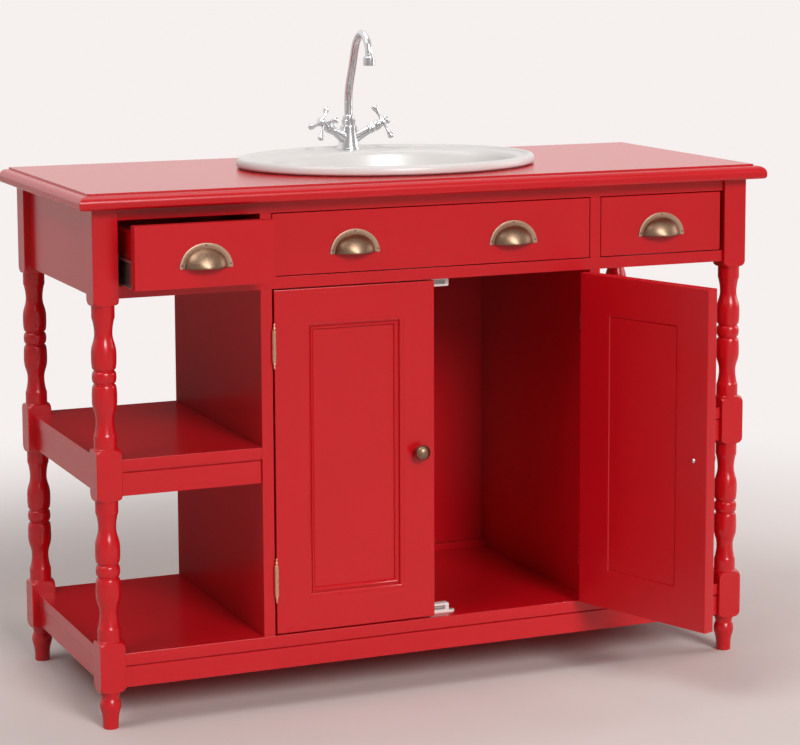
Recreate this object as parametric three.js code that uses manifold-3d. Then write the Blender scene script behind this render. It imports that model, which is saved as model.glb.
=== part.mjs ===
// Country-style washstand: a painted wooden vanity unit with four turned legs, two side drawers,
// a two-door cabinet, open shelf bays, an oval drop-in basin and a two-handle mixer.
// Millimetres, +Z up, the front faces -Y, left is -X. The origin lies on the floor, in the middle
// of the space that the unit takes up with one drawer drawn and one door open.

import * as THREE from 'three';
import { mergeVertices } from 'three/addons/utils/BufferGeometryUtils.js';
import Module from 'manifold-3d';

const wasm = await Module();
wasm.setup();

// Overall sizes
const worktopWidth = 1200;
const unitHeight = 850;
const frameDepth = 454;
const sideOverhang = 26;
const frontOverhang = 26;
const backOverhang = 15;

// Timber stock
const legSide = 41;
const boardThickness = 19;
const worktopThickness = 24.5;
const doorThickness = 21;
const backPanelThickness = 13;
const drawerBoxWall = 12;
const drawerBoxBottom = 10;

// Heights of the openings and boards, from the top down
const topRailHeight = 20;
const drawerOpeningHeight = 102;
const drawerRailHeight = 19;
const midShelfTop = 431.5;
const midApronHeight = 39;
const bottomBoardTop = 121;
const baseApronHeight = 36;

// Widths and depths inside the frame
const cabinetWidth = 600;
const faceRecess = 6.6;
const apronSetback = 1.5;
const sideInset = 11;
const rearInset = 4;
const topRailDepth = 45;
const drawerRailDepth = 60;
const battenDepth = 20;
const battenHeight = 12;

// How the unit stands at rest
const leftDrawerPull = 75;
const rightDoorAngle = THREE.MathUtils.degToRad(110);

// Clearances
const softGap = 0.3;
const frontGap = 1.5;
const postSideGap = 5.5;
const doorTopGap = 2.2;
const doorBottomGap = 2.8;
const meetingGap = 3;
const hingeGap = 3;
const catchGap = 1;
const cutOverrun = 5;
const weldDistance = 0.0001;

// Planes worked out from the sizes above
const frameHalf = worktopWidth / 2 - sideOverhang;
const postInner = frameHalf - legSide;
const sidePlane = frameHalf - sideInset;
const cabinetHalf = cabinetWidth / 2;
const cabinetInner = cabinetHalf - boardThickness;
const worktopUnder = unitHeight - worktopThickness;
const openingTop = worktopUnder - topRailHeight;
const openingBottom = openingTop - drawerOpeningHeight;
const railUnder = openingBottom - drawerRailHeight;
const boardRear = frameDepth - rearInset;
const backRailFront = frameDepth - boardThickness;
const panelFront = boardRear - backPanelThickness;
const midShelfUnder = midShelfTop - boardThickness;
const bottomBoardUnder = bottomBoardTop - boardThickness;
const fittingFaceRear = faceRecess + boardThickness;

// Colours and finishes
const redPaint = { color: 0xc32b2e, roughness: 0.4, metalness: 0 };
const whiteCeramic = { color: 0xf4f2ef, roughness: 0.12, metalness: 0 };
const chrome = { color: 0xd8dadd, roughness: 0.08, metalness: 1 };
const agedBrass = { color: 0x8c7455, roughness: 0.35, metalness: 1 };
const hingeBrass = { color: 0xd09a6a, roughness: 0.3, metalness: 1 };
const runnerSteel = { color: 0x3c3a3a, roughness: 0.4, metalness: 1 };
const whitePlastic = { color: 0xeeeae6, roughness: 0.45, metalness: 0 };

// Mesh helpers

function welded(geometry) {
  const bare = geometry.clone();
  bare.deleteAttribute('normal');
  bare.deleteAttribute('uv');
  const merged = mergeVertices(bare, weldDistance);
  const index = merged.index.array;
  const kept = [];
  for (let i = 0; i < index.length; i += 3) {
    const [a, b, c] = [index[i], index[i + 1], index[i + 2]];
    if (a !== b && b !== c && c !== a) kept.push(a, b, c);
  }
  merged.setIndex(kept);
  return merged;
}

function facingOut(geometry) {
  const index = Array.from(geometry.index.array);
  const at = geometry.attributes.position;
  const corner = (i) => new THREE.Vector3().fromBufferAttribute(at, i);
  let volume = 0;
  for (let i = 0; i < index.length; i += 3) {
    const [a, b, c] = [corner(index[i]), corner(index[i + 1]), corner(index[i + 2])];
    volume += a.dot(b.cross(c));
  }
  if (volume < 0) index.reverse();
  geometry.setIndex(index);
  return geometry;
}

function solidOf(geometry) {
  const closed = facingOut(welded(geometry));
  const vertProperties = new Float32Array(closed.attributes.position.array);
  const triVerts = new Uint32Array(closed.index.array);
  return new wasm.Manifold(new wasm.Mesh({ numProp: 3, vertProperties, triVerts }));
}

function geometryOf(solid) {
  const mesh = solid.getMesh();
  const geometry = new THREE.BufferGeometry();
  geometry.setAttribute('position', new THREE.BufferAttribute(mesh.vertProperties, 3));
  geometry.setIndex(Array.from(mesh.triVerts));
  return geometry;
}

function joined(first, ...others) {
  return geometryOf(others.reduce((sum, part) => sum.add(solidOf(part)), solidOf(first)));
}

function cut(body, ...tools) {
  return geometryOf(tools.reduce((rest, tool) => rest.subtract(solidOf(tool)), solidOf(body)));
}

function common(first, second) {
  return geometryOf(solidOf(first).intersect(solidOf(second)));
}

function block(x0, x1, y0, y1, z0, z1) {
  const geometry = new THREE.BoxGeometry(Math.abs(x1 - x0), Math.abs(y1 - y0), Math.abs(z1 - z0));
  return geometry.translate((x0 + x1) / 2, (y0 + y1) / 2, (z0 + z1) / 2);
}

function prism(points, height) {
  const shape = new THREE.Shape(points.map(([u, v]) => new THREE.Vector2(u, v)));
  return new THREE.ExtrudeGeometry(shape, { depth: height, bevelEnabled: false, curveSegments: 12 });
}

const xAxis = new THREE.Vector3(1, 0, 0);
const yAxis = new THREE.Vector3(0, 1, 0);
const zAxis = new THREE.Vector3(0, 0, 1);
const alongX = new THREE.Matrix4().makeBasis(yAxis, zAxis, xAxis);
const alongY = new THREE.Matrix4().makeBasis(zAxis, xAxis, yAxis);

function plate(points, z0, z1) {
  return prism(points, z1 - z0).translate(0, 0, z0);
}

function turned(profile, segments) {
  const points = profile.map(([radius, height]) => new THREE.Vector2(radius, height));
  return welded(new THREE.LatheGeometry(points, segments)).rotateX(Math.PI / 2);
}

function rod(radius, z0, z1, segments) {
  return new THREE.CylinderGeometry(radius, radius, z1 - z0, segments)
    .rotateX(Math.PI / 2)
    .translate(0, 0, (z0 + z1) / 2);
}

function loft(rings, closesOnItself) {
  const count = rings[0].length;
  const index = [];
  const bands = closesOnItself ? rings.length : rings.length - 1;
  for (let band = 0; band < bands; band += 1) {
    const near = band * count;
    const far = ((band + 1) % rings.length) * count;
    for (let i = 0; i < count; i += 1) {
      const j = (i + 1) % count;
      index.push(near + i, near + j, far + j, near + i, far + j, far + i);
    }
  }
  if (!closesOnItself) {
    const top = (rings.length - 1) * count;
    for (let i = 1; i < count - 1; i += 1) {
      index.push(0, i + 1, i, top, top + i, top + i + 1);
    }
  }
  const geometry = new THREE.BufferGeometry().setFromPoints(rings.flat());
  geometry.setIndex(index);
  return facingOut(geometry);
}

function piece(parent, name, geometry, finish) {
  const closed = facingOut(welded(geometry));
  closed.computeVertexNormals();
  const mesh = new THREE.Mesh(closed, new THREE.MeshStandardMaterial(finish));
  mesh.name = name;
  parent.add(mesh);
  return mesh;
}

const sides = [
  { name: 'left', sign: -1 },
  { name: 'right', sign: 1 },
];

const unit = new THREE.Group();
const carcass = new THREE.Group();
unit.add(carcass);

// Legs: square stock with turned lengths between the square blocks and a turned foot
const upperBlockDrop = 10;
const midBlockRise = 17.5;
const midBlockDrop = 6;
const lowBlockRise = 20.8;
const lowBlockDrop = 5;
const shoulderLength = 11.5;
const shoulderRadius = 23.5;
const cornerMargin = 0.5;
const spindleEndRadius = 18.4;
const beadRadius = 19.4;
const grooveRadius = 16.3;
const bulgeRadius = 20;
const waistRadius = 14.3;
const footBallRadius = 17.5;
const footNeckRadius = 14.4;
const footTipRadius = 13.4;
const footTaperRadius = 14.4;
const footEdge = 1.2;
const legSegments = 12;
const spindleSteps = 9;
const footSteps = 6;

function legGeometry() {
  const cornerRadius = legSide / Math.SQRT2 + cornerMargin;
  const lowTop = bottomBoardTop + lowBlockRise;
  const lowEnd = bottomBoardUnder - baseApronHeight - lowBlockDrop;
  const midTop = midShelfTop + midBlockRise;
  const midEnd = midShelfUnder - midApronHeight - midBlockDrop;
  const upperEnd = railUnder - upperBlockDrop;
  const footShares = [[footTipRadius, 0.02], [footTaperRadius, 0.4], [footBallRadius, 0.61],
    [footNeckRadius, 0.83]];

  function smooth(points, steps) {
    const curve = new THREE.SplineCurve(points.map(([radius, z]) => new THREE.Vector2(radius, z)));
    return curve.getPoints(steps).map((point) => [point.x, point.y]);
  }

  // A spindle is the same from its middle bead towards both ends, apart from its direction
  function spindle(z0, z1) {
    const middle = (z0 + z1) / 2;
    const reach = (z1 - z0) / 2;
    const halfShares = [[beadRadius, 0], [grooveRadius, 0.097], [bulgeRadius, 0.27], [waistRadius, 0.62],
      [spindleEndRadius, 0.83], [spindleEndRadius, 1]];
    const upper = halfShares.map(([radius, share]) => [radius, middle + share * reach]);
    const lower = halfShares.slice(1).reverse().map(([radius, share]) => [radius, middle - share * reach]);
    return smooth([...lower, ...upper], 2 * spindleSteps);
  }

  function squareBlock(z0, z1) {
    return [[shoulderRadius, z0], [cornerRadius, z0 + shoulderLength],
      [cornerRadius, z1 - shoulderLength], [shoulderRadius, z1]];
  }

  const foot = smooth(footShares.map(([radius, share]) => [radius, share * lowEnd]), footSteps);
  const profile = [
    [0, 0],
    [footTipRadius - footEdge, 0],
    ...foot,
    [footNeckRadius, lowEnd],
    ...squareBlock(lowEnd, lowTop),
    ...spindle(lowTop, midEnd),
    ...squareBlock(midEnd, midTop),
    ...spindle(midTop, upperEnd),
    [shoulderRadius, upperEnd],
    [cornerRadius, upperEnd + shoulderLength],
    [cornerRadius, worktopUnder],
    [0, worktopUnder],
  ];
  const stock = block(-legSide / 2, legSide / 2, -legSide / 2, legSide / 2, -cutOverrun, unitHeight);
  return common(turned(profile, legSegments), stock);
}

const legEnds = [
  { name: 'front', y: legSide / 2 },
  { name: 'rear', y: frameDepth - legSide / 2 },
];
for (const end of legEnds) {
  for (const side of sides) {
    const leg = piece(carcass, `leg_${end.name}_${side.name}`, legGeometry(), redPaint);
    leg.position.set(side.sign * (frameHalf - legSide / 2), end.y, 0);
  }
}

// Upper frame: side panels between the legs, back rail, top rail and drawer rail
const legRearFace = frameDepth - legSide;
for (const side of sides) {
  const outer = side.sign * sidePlane;
  const inner = side.sign * (sidePlane - boardThickness);
  piece(carcass, `side_panel_${side.name}`,
    block(outer, inner, legSide, legRearFace, railUnder, worktopUnder), redPaint);
}
piece(carcass, 'back_rail',
  block(-postInner, postInner, backRailFront, frameDepth, railUnder, worktopUnder), redPaint);
piece(carcass, 'top_rail',
  block(-postInner, postInner, faceRecess, faceRecess + topRailDepth, openingTop, worktopUnder), redPaint);
piece(carcass, 'drawer_rail',
  block(-postInner, postInner, faceRecess, faceRecess + drawerRailDepth, railUnder, openingBottom), redPaint);

// Cabinet: two sides notched round the rails, and a back with a batten along its foot
function cabinetSideOutline() {
  return [
    [faceRecess, bottomBoardTop],
    [boardRear, bottomBoardTop],
    [boardRear, railUnder],
    [backRailFront, railUnder],
    [backRailFront, worktopUnder],
    [faceRecess + topRailDepth, worktopUnder],
    [faceRecess + topRailDepth, openingTop],
    [faceRecess, openingTop],
    [faceRecess, openingBottom],
    [faceRecess + drawerRailDepth, openingBottom],
    [faceRecess + drawerRailDepth, railUnder],
    [faceRecess, railUnder],
  ];
}
for (const side of sides) {
  const lowX = side.sign < 0 ? -cabinetHalf : cabinetInner;
  const geometry = prism(cabinetSideOutline(), boardThickness).applyMatrix4(alongX).translate(lowX, 0, 0);
  piece(carcass, `cabinet_side_${side.name}`, geometry, redPaint);
}
const backOutline = [
  [boardRear, bottomBoardTop],
  [boardRear, railUnder],
  [panelFront, railUnder],
  [panelFront, bottomBoardTop + battenHeight],
  [panelFront - battenDepth, bottomBoardTop + battenHeight],
  [panelFront - battenDepth, bottomBoardTop],
];
piece(carcass, 'cabinet_back',
  prism(backOutline, 2 * cabinetInner).applyMatrix4(alongX).translate(-cabinetInner, 0, 0), redPaint);

// Bottom board and shelves, notched round the legs, with aprons below their edges
const bottomOutline = [
  [-postInner, faceRecess], [postInner, faceRecess],
  [postInner, legSide], [sidePlane, legSide],
  [sidePlane, legRearFace], [postInner, legRearFace],
  [postInner, boardRear], [-postInner, boardRear],
  [-postInner, legRearFace], [-sidePlane, legRearFace],
  [-sidePlane, legSide], [-postInner, legSide],
];
piece(carcass, 'bottom_board', plate(bottomOutline, bottomBoardUnder, bottomBoardTop), redPaint);

const apronFront = faceRecess + apronSetback;
const sideApronOuter = sidePlane - apronSetback;
piece(carcass, 'base_apron_front',
  block(-postInner, postInner, apronFront, apronFront + boardThickness,
    bottomBoardUnder - baseApronHeight, bottomBoardUnder), redPaint);
for (const side of sides) {
  piece(carcass, `base_apron_${side.name}`,
    block(side.sign * sideApronOuter, side.sign * (sideApronOuter - boardThickness), legSide, legRearFace,
      bottomBoardUnder - baseApronHeight, bottomBoardUnder), redPaint);
}

for (const side of sides) {
  const outline = [
    [cabinetHalf, faceRecess], [postInner, faceRecess],
    [postInner, legSide], [sidePlane, legSide],
    [sidePlane, legRearFace], [postInner, legRearFace],
    [postInner, boardRear], [cabinetHalf, boardRear],
  ].map(([x, y]) => [side.sign * x, y]);
  const board = plate(outline, midShelfUnder, midShelfTop);
  const sideApron = block(side.sign * sideApronOuter, side.sign * (sideApronOuter - boardThickness),
    legSide, legRearFace, midShelfUnder - midApronHeight, midShelfUnder);
  piece(carcass, `mid_shelf_${side.name}`, joined(board, sideApron), redPaint);
  piece(carcass, `mid_apron_${side.name}`,
    block(side.sign * cabinetHalf, side.sign * postInner, apronFront, apronFront + boardThickness,
      midShelfUnder - midApronHeight, midShelfUnder), redPaint);
}

// Worktop: moulded on three edges, square at the back, cut out for the basin
const topStep = 3;
const topStepInset = 17.5;
const ovoloInset = 13;
const ovoloHeight = 12;
const noseRadius = 5;
const ovoloSteps = 5;
const noseSteps = 2;
const basinOffset = 14;
const basinFrontMargin = 61;
const basinRearMargin = 18;
const basinHalfWidth = 260;
const basinHalfDepth = (frontOverhang + frameDepth + backOverhang - basinFrontMargin - basinRearMargin) / 2;
const basinY = basinFrontMargin - frontOverhang + basinHalfDepth;
const cutoutMargin = 14;
const basinSegments = 32;

function ellipseRing(halfWidth, halfDepth, y, z, segments) {
  return Array.from({ length: segments }, (_, i) => {
    const angle = (2 * Math.PI * i) / segments;
    return new THREE.Vector3(halfWidth * Math.cos(angle), y + halfDepth * Math.sin(angle), z);
  });
}

function worktopGeometry() {
  function edgeRing(inset, z) {
    const half = worktopWidth / 2 - inset;
    const front = -frontOverhang + inset;
    const back = frameDepth + backOverhang;
    return [
      new THREE.Vector3(-half, front, z), new THREE.Vector3(half, front, z),
      new THREE.Vector3(half, back, z), new THREE.Vector3(-half, back, z),
    ];
  }
  const rings = [];
  const noseTop = worktopUnder + noseRadius;
  for (let i = 0; i <= noseSteps; i += 1) {
    const turn = (Math.PI / 2) * (i / noseSteps);
    rings.push(edgeRing(noseRadius * (1 - Math.sin(turn)), noseTop - noseRadius * Math.cos(turn)));
  }
  const ovoloTop = unitHeight - topStep;
  for (let i = 0; i <= ovoloSteps; i += 1) {
    const turn = (Math.PI / 2) * (i / ovoloSteps);
    rings.push(edgeRing(ovoloInset * (1 - Math.cos(turn)), ovoloTop - ovoloHeight * (1 - Math.sin(turn))));
  }
  rings.push(edgeRing(topStepInset, ovoloTop), edgeRing(topStepInset, unitHeight));
  const halfWidth = basinHalfWidth - cutoutMargin;
  const halfDepth = basinHalfDepth - cutoutMargin;
  const hole = loft([
    ellipseRing(halfWidth, halfDepth, basinY, worktopUnder - cutOverrun, basinSegments),
    ellipseRing(halfWidth, halfDepth, basinY, unitHeight + cutOverrun, basinSegments),
  ], false).translate(basinOffset, 0, 0);
  return cut(loft(rings, false), hole);
}
piece(carcass, 'worktop', worktopGeometry(), redPaint);

// Basin: a rolled rim with a flat tap ledge, and an oval bowl that hangs through the worktop
const rimHeight = 17;
const rimWidestHeight = 8;
const rimSeat = 7;
const rimShoulder = 2;
const rimCrestInset = 8;
const deckInset = 18;
const deckHeight = 13;
const frontLedge = 30;
const tapLedge = 86;
const bowlShift = (tapLedge - frontLedge) / 2;
const bowlHalfWidth = 216;
const bowlHalfDepth = basinHalfDepth - (tapLedge + frontLedge) / 2;
const bowlDepth = 150;
const bowlWall = 8;
const drainRadius = 22;
const drainFlatRadius = 36;
const tapMargin = 40;
const tapSetback = basinHalfDepth - tapMargin;
const tapShift = -2;
const tapHoleRadius = 17;
const tapHoleSegments = 16;
const deckTop = unitHeight + deckHeight;
const bowlFloor = deckTop - bowlDepth;

function basinGeometry() {
  const rim = (inset, z) => ellipseRing(basinHalfWidth - inset, basinHalfDepth - inset, 0, z, basinSegments);
  const bowl = (halfWidth, halfDepth, z) => ellipseRing(halfWidth, halfDepth, -bowlShift, z, basinSegments);
  // Each step gives the bowl's width and depth as shares of the lip's, and how far down it lies
  const bowlShares = [[1, 0], [0.975, 0.05], [0.93, 0.2], [0.84, 0.46], [0.66, 0.74], [0.42, 0.93]];
  const inside = bowlShares.map(([size, drop]) => bowl(bowlHalfWidth * size, bowlHalfDepth * size,
    deckTop - bowlDepth * drop));
  const outside = bowlShares.slice(2).reverse().map(([size, drop]) => bowl(bowlHalfWidth * size + bowlWall,
    bowlHalfDepth * size + bowlWall, deckTop - bowlDepth * drop - bowlWall));
  const rings = [
    rim(rimSeat, unitHeight),
    rim(0, unitHeight + rimWidestHeight),
    rim(rimShoulder, unitHeight + rimHeight - rimShoulder),
    rim(rimCrestInset, unitHeight + rimHeight),
    rim(deckInset - rimShoulder, deckTop + rimShoulder),
    rim(deckInset, deckTop),
    ...inside,
    bowl(drainFlatRadius, drainFlatRadius, bowlFloor),
    bowl(drainRadius, drainRadius, bowlFloor),
    bowl(drainRadius, drainRadius, bowlFloor - bowlWall),
    bowl(drainFlatRadius + bowlWall, drainFlatRadius + bowlWall, bowlFloor - bowlWall),
    ...outside,
    bowl(bowlHalfWidth, bowlHalfDepth, unitHeight),
  ];
  const hole = rod(tapHoleRadius, worktopUnder, deckTop + cutOverrun, tapHoleSegments)
    .translate(tapShift, tapSetback, 0);
  return cut(loft(rings, true), hole);
}
const basin = piece(carcass, 'basin', basinGeometry(), whiteCeramic);
basin.position.set(basinOffset, basinY, 0);

// Waste: a flanged strainer in the bowl, its tail and the nut that clamps it from below
const wasteFlangeRadius = 31;
const wasteFlangeHeight = 2.5;
const wasteDish = 2;
const wasteTailRadius = 20;
const wasteBoreRadius = 17;
const wasteTailLength = 68;
const wasteNutRadius = 31;
const wasteNutHeight = 10;
const wasteSegments = 14;

function wasteGeometry() {
  const nutTop = bowlFloor - bowlWall - softGap;
  return turned([
    [0, bowlFloor - wasteDish],
    [wasteBoreRadius, bowlFloor - wasteDish],
    [wasteBoreRadius + wasteDish, bowlFloor + wasteFlangeHeight],
    [wasteFlangeRadius, bowlFloor + wasteFlangeHeight],
    [wasteFlangeRadius, bowlFloor],
    [wasteTailRadius, bowlFloor],
    [wasteTailRadius, nutTop],
    [wasteNutRadius, nutTop],
    [wasteNutRadius, nutTop - wasteNutHeight],
    [wasteTailRadius, nutTop - wasteNutHeight],
    [wasteTailRadius, bowlFloor - wasteTailLength],
    [wasteBoreRadius, bowlFloor - wasteTailLength],
    [wasteBoreRadius, bowlFloor - 2 * wasteDish],
    [0, bowlFloor - 2 * wasteDish],
  ], wasteSegments);
}
const waste = piece(carcass, 'basin_waste', wasteGeometry(), chrome);
waste.position.set(basinOffset, basinY - bowlShift, 0);

// Mixer: a tapered body with two raised arms, a swan-neck spout and two cross handles
const tapBaseRadius = 20.8;
const tapBaseHeight = 3;
const tapNeckRadius = 13.5;
const tapNeckHeight = 42;
const tapCollarRadius = 11.7;
const tapCollarHeight = 10;
const tapShankRadius = 16;
const tapNutRadius = 24;
const tapNutHeight = 8;
const tapShankLength = 42;
const armRootHeight = 14;
const armRadius = 7;
const armLength = 54;
const bonnetRadius = 10;
const bonnetLength = 7;
const spindleRadius = 3;
const spindleLength = 7;
const armSpread = 55;
const armForward = 21.5;
const armRise = 34;
const tapSegments = 14;
const armSegments = 10;
const hexSides = 6;

const tap = new THREE.Group();
tap.position.set(basinOffset + tapShift, basinY + tapSetback, deckTop);
carcass.add(tap);

// Turns a piece made along Z to lie along its arm, with its X axis level
function armTurn(side) {
  const direction = new THREE.Vector3(side.sign * armSpread, -armForward, armRise).normalize();
  const level = new THREE.Vector3().crossVectors(zAxis, direction).normalize();
  const steep = new THREE.Vector3().crossVectors(direction, level);
  const basis = new THREE.Matrix4().makeBasis(level, steep, direction);
  return new THREE.Quaternion().setFromRotationMatrix(basis);
}

function tapBodyGeometry() {
  const nutTop = -deckHeight - softGap;
  const core = turned([
    [0, -tapShankLength],
    [tapShankRadius, -tapShankLength],
    [tapShankRadius, nutTop - tapNutHeight],
    [tapNutRadius, nutTop - tapNutHeight],
    [tapNutRadius, nutTop],
    [tapShankRadius, nutTop],
    [tapShankRadius, 0],
    [tapBaseRadius, 0],
    [tapBaseRadius, tapBaseHeight],
    [tapBaseRadius - tapBaseHeight / 2, 2 * tapBaseHeight],
    [(tapBaseRadius + tapNeckRadius) / 2, tapNeckHeight / 2],
    [tapNeckRadius, tapNeckHeight],
    [tapCollarRadius, tapNeckHeight],
    [tapCollarRadius, tapNeckHeight + tapCollarHeight],
    [0, tapNeckHeight + tapCollarHeight],
  ], tapSegments);
  const arms = sides.flatMap((side) => {
    const tube = rod(armRadius, 0, armLength, armSegments);
    const bonnet = rod(bonnetRadius, armLength - bonnetLength, armLength, hexSides);
    const spindle = rod(spindleRadius, armLength - bonnetLength, armLength + spindleLength, armSegments);
    return [tube, bonnet, spindle].map((part) => part.applyQuaternion(armTurn(side))
      .translate(0, 0, armRootHeight));
  });
  return joined(core, ...arms);
}
piece(tap, 'tap_body', tapBodyGeometry(), chrome);

const spoutRadius = 7.2;
const spoutReach = 97;
const spoutRise = 205;
const spoutNutRadius = 10.3;
const spoutNutHeight = 8;
const aeratorRadius = 10;
const aeratorLength = 20;
const aeratorMouthRadius = 8;
const aeratorMouthDepth = 3;
const spoutSides = 10;
const spoutSteps = 18;

function spoutGeometry() {
  const start = tapNeckHeight + tapCollarHeight + softGap;
  const routeShares = [[0, 0.43], [0.03, 0.52], [0.19, 0.7], [0.42, 0.935], [0.66, 1], [0.9, 0.945],
    [0.99, 0.86], [1, 0.8]];
  const route = [
    new THREE.Vector3(0, 0, start),
    ...routeShares.map(([reach, rise]) => new THREE.Vector3(0, -reach * spoutReach, rise * spoutRise)),
  ];
  const section = new THREE.Shape(Array.from({ length: spoutSides }, (_, i) => {
    const angle = (2 * Math.PI * i) / spoutSides;
    return new THREE.Vector2(spoutRadius * Math.cos(angle), spoutRadius * Math.sin(angle));
  }));
  const tube = new THREE.ExtrudeGeometry(section, {
    steps: spoutSteps, bevelEnabled: false, extrudePath: new THREE.CatmullRomCurve3(route),
  });
  const nut = rod(spoutNutRadius, start, start + spoutNutHeight, tapSegments);
  const end = route[route.length - 1];
  const aerator = turned([
    [0, spoutRadius],
    [spoutRadius, spoutRadius],
    [aeratorRadius, 0],
    [aeratorRadius, spoutRadius - aeratorLength],
    [aeratorMouthRadius, spoutRadius - aeratorLength],
    [aeratorMouthRadius, spoutRadius - aeratorLength + aeratorMouthDepth],
    [0, spoutRadius - aeratorLength + aeratorMouthDepth],
  ], tapSegments).translate(0, end.y, end.z);
  return joined(tube, nut, aerator);
}
piece(tap, 'tap_spout', spoutGeometry(), chrome);

const crossReach = 33;
const crossRootRadius = 2.6;
const crossTipRadius = 5.6;
const crossHeight = 15;
const crossSides = 6;
const crossArms = 4;
const hubSkirtRadius = 9;
const hubWaistRadius = 6.5;
const hubHeight = 22;
const hubCapRadius = 8.5;
const hubCapHeight = 5;
const crossTurns = { left: THREE.MathUtils.degToRad(16), right: 0 };
const tipSteps = 4;

function handleGeometry() {
  const bore = spindleRadius + softGap;
  const boreDepth = spindleLength + softGap;
  const hub = turned([
    [0, boreDepth],
    [bore, boreDepth],
    [bore, softGap],
    [hubSkirtRadius, softGap],
    [hubSkirtRadius, bonnetLength],
    [hubWaistRadius, crossHeight - crossTipRadius],
    [hubWaistRadius, hubHeight - crossRootRadius],
    [hubCapRadius, hubHeight],
    [hubCapRadius, hubHeight + hubCapHeight / 2],
    [hubWaistRadius, hubHeight + hubCapHeight],
    [0, hubHeight + hubCapHeight],
  ], armSegments);
  const tipCentre = crossReach - crossTipRadius;
  const tip = Array.from({ length: tipSteps }, (_, i) => {
    const turn = (Math.PI / 2) * (i / (tipSteps - 1));
    return [crossTipRadius * Math.cos(turn), tipCentre + crossTipRadius * Math.sin(turn)];
  });
  tip[tip.length - 1][0] = 0;
  const rootEnd = hubWaistRadius / 2;
  const spokes = Array.from({ length: crossArms }, (_, i) => {
    const spoke = turned([[0, rootEnd], [crossRootRadius, rootEnd], [crossRootRadius, tipCentre / 2], ...tip],
      crossSides);
    return spoke.rotateY(Math.PI / 2).rotateZ((2 * Math.PI * i) / crossArms).translate(0, 0, crossHeight);
  });
  return joined(hub, ...spokes);
}
for (const side of sides) {
  const handle = new THREE.Group();
  const direction = zAxis.clone().applyQuaternion(armTurn(side));
  handle.position.copy(direction.multiplyScalar(armLength)).add(new THREE.Vector3(0, 0, armRootHeight));
  handle.quaternion.copy(armTurn(side));
  tap.add(handle);
  const cross = piece(handle, `tap_handle_${side.name}`, handleGeometry(), chrome);
  cross.rotation.z = crossTurns[side.name];
}

// Cup pull: a half dome open below, on a flat arched flange
const pullFlangeHalf = 43;
const pullHeight = 39;
const pullFlangeThickness = 2;
const domeHalf = 36;
const domeHeight = 32;
const domeProjection = 22;
const domeWall = 2;
const pullLift = 30;
const pullBaseHeight = openingBottom + frontGap + pullLift;
const pullSegments = 16;
const pullBands = 8;

function cupPullGeometry() {
  const ball = (halfX, halfY, halfZ) => new THREE.SphereGeometry(1, pullSegments, pullBands)
    .scale(halfX, halfY, halfZ);
  const outer = common(ball(domeHalf, domeProjection, domeHeight),
    block(-pullFlangeHalf, pullFlangeHalf, -pullFlangeHalf, 0, 0, pullHeight));
  const arch = new THREE.Shape();
  arch.absellipse(0, 0, pullFlangeHalf, pullHeight, 0, Math.PI, false, 0);
  const flange = new THREE.ExtrudeGeometry(arch,
    { depth: pullFlangeThickness, bevelEnabled: false, curveSegments: pullSegments / 2 })
    .rotateX(Math.PI / 2);
  const hollow = ball(domeHalf - domeWall, domeProjection - domeWall, domeHeight - domeWall);
  return cut(joined(outer, flange), hollow);
}

function addPull(parent, name, x) {
  const pull = piece(parent, name, cupPullGeometry(), agedBrass);
  pull.position.set(x, faceRecess, pullBaseHeight);
}

// Fixed centre front with cleats at its ends, which hold it to the cabinet sides
const cleatLength = 20;
const cleatDepth = 20;
const falseFrontHalf = cabinetInner - frontGap;
const falseFrontOutline = [
  [-falseFrontHalf, faceRecess], [falseFrontHalf, faceRecess],
  [falseFrontHalf, fittingFaceRear], [cabinetInner, fittingFaceRear],
  [cabinetInner, fittingFaceRear + cleatDepth], [cabinetInner - cleatLength, fittingFaceRear + cleatDepth],
  [cabinetInner - cleatLength, fittingFaceRear], [cleatLength - cabinetInner, fittingFaceRear],
  [cleatLength - cabinetInner, fittingFaceRear + cleatDepth], [-cabinetInner, fittingFaceRear + cleatDepth],
  [-cabinetInner, fittingFaceRear], [-falseFrontHalf, fittingFaceRear],
];
piece(carcass, 'false_front',
  plate(falseFrontOutline, openingBottom + frontGap, openingTop - frontGap), redPaint);
for (const side of sides) {
  addPull(carcass, `cup_pull_centre_${side.name}`, side.sign * (falseFrontHalf / 2));
}

// Side drawers on ball-bearing runners
const runnerHeight = 45;
const runnerSpace = 13;
const runnerMetal = 1.5;
const runnerLip = 9;
const runnerBottomGap = 1;
const runnerSetback = 1.4;
const runnerRearGap = 8;
const drawerRearGap = 9.4;
const drawerBoxHeight = 80;
const drawerBoxLift = 5.5;

const runnerFront = fittingFaceRear + runnerSetback;
const runnerLength = backRailFront - runnerRearGap - runnerFront;
const drawerBoxLength = backRailFront - drawerRearGap - fittingFaceRear;

function channelOutline(backX, lipX, halfHeight) {
  const inward = Math.sign(lipX - backX);
  const web = backX + inward * runnerMetal;
  const step = halfHeight - runnerMetal;
  return [
    [backX, -halfHeight], [lipX, -halfHeight], [lipX, -step], [web, -step],
    [web, step], [lipX, step], [lipX, halfHeight], [backX, halfHeight],
  ];
}

function runnerGeometry(outline, wallX, inward) {
  // The outline's first number is the distance from the wall, the second the height
  const placed = outline.map(([fromWall, height]) => [height, wallX + inward * fromWall]);
  return prism(placed, runnerLength).applyMatrix4(alongY);
}

const runnerMiddle = openingBottom + runnerBottomGap + runnerHeight / 2;
const slideHalfHeight = runnerHeight / 2 - runnerMetal - softGap;
const bayWidth = postInner - cabinetHalf;
const drawerBoxWidth = bayWidth - 2 * runnerSpace;
const drawerCentre = (postInner + cabinetHalf) / 2;

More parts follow.
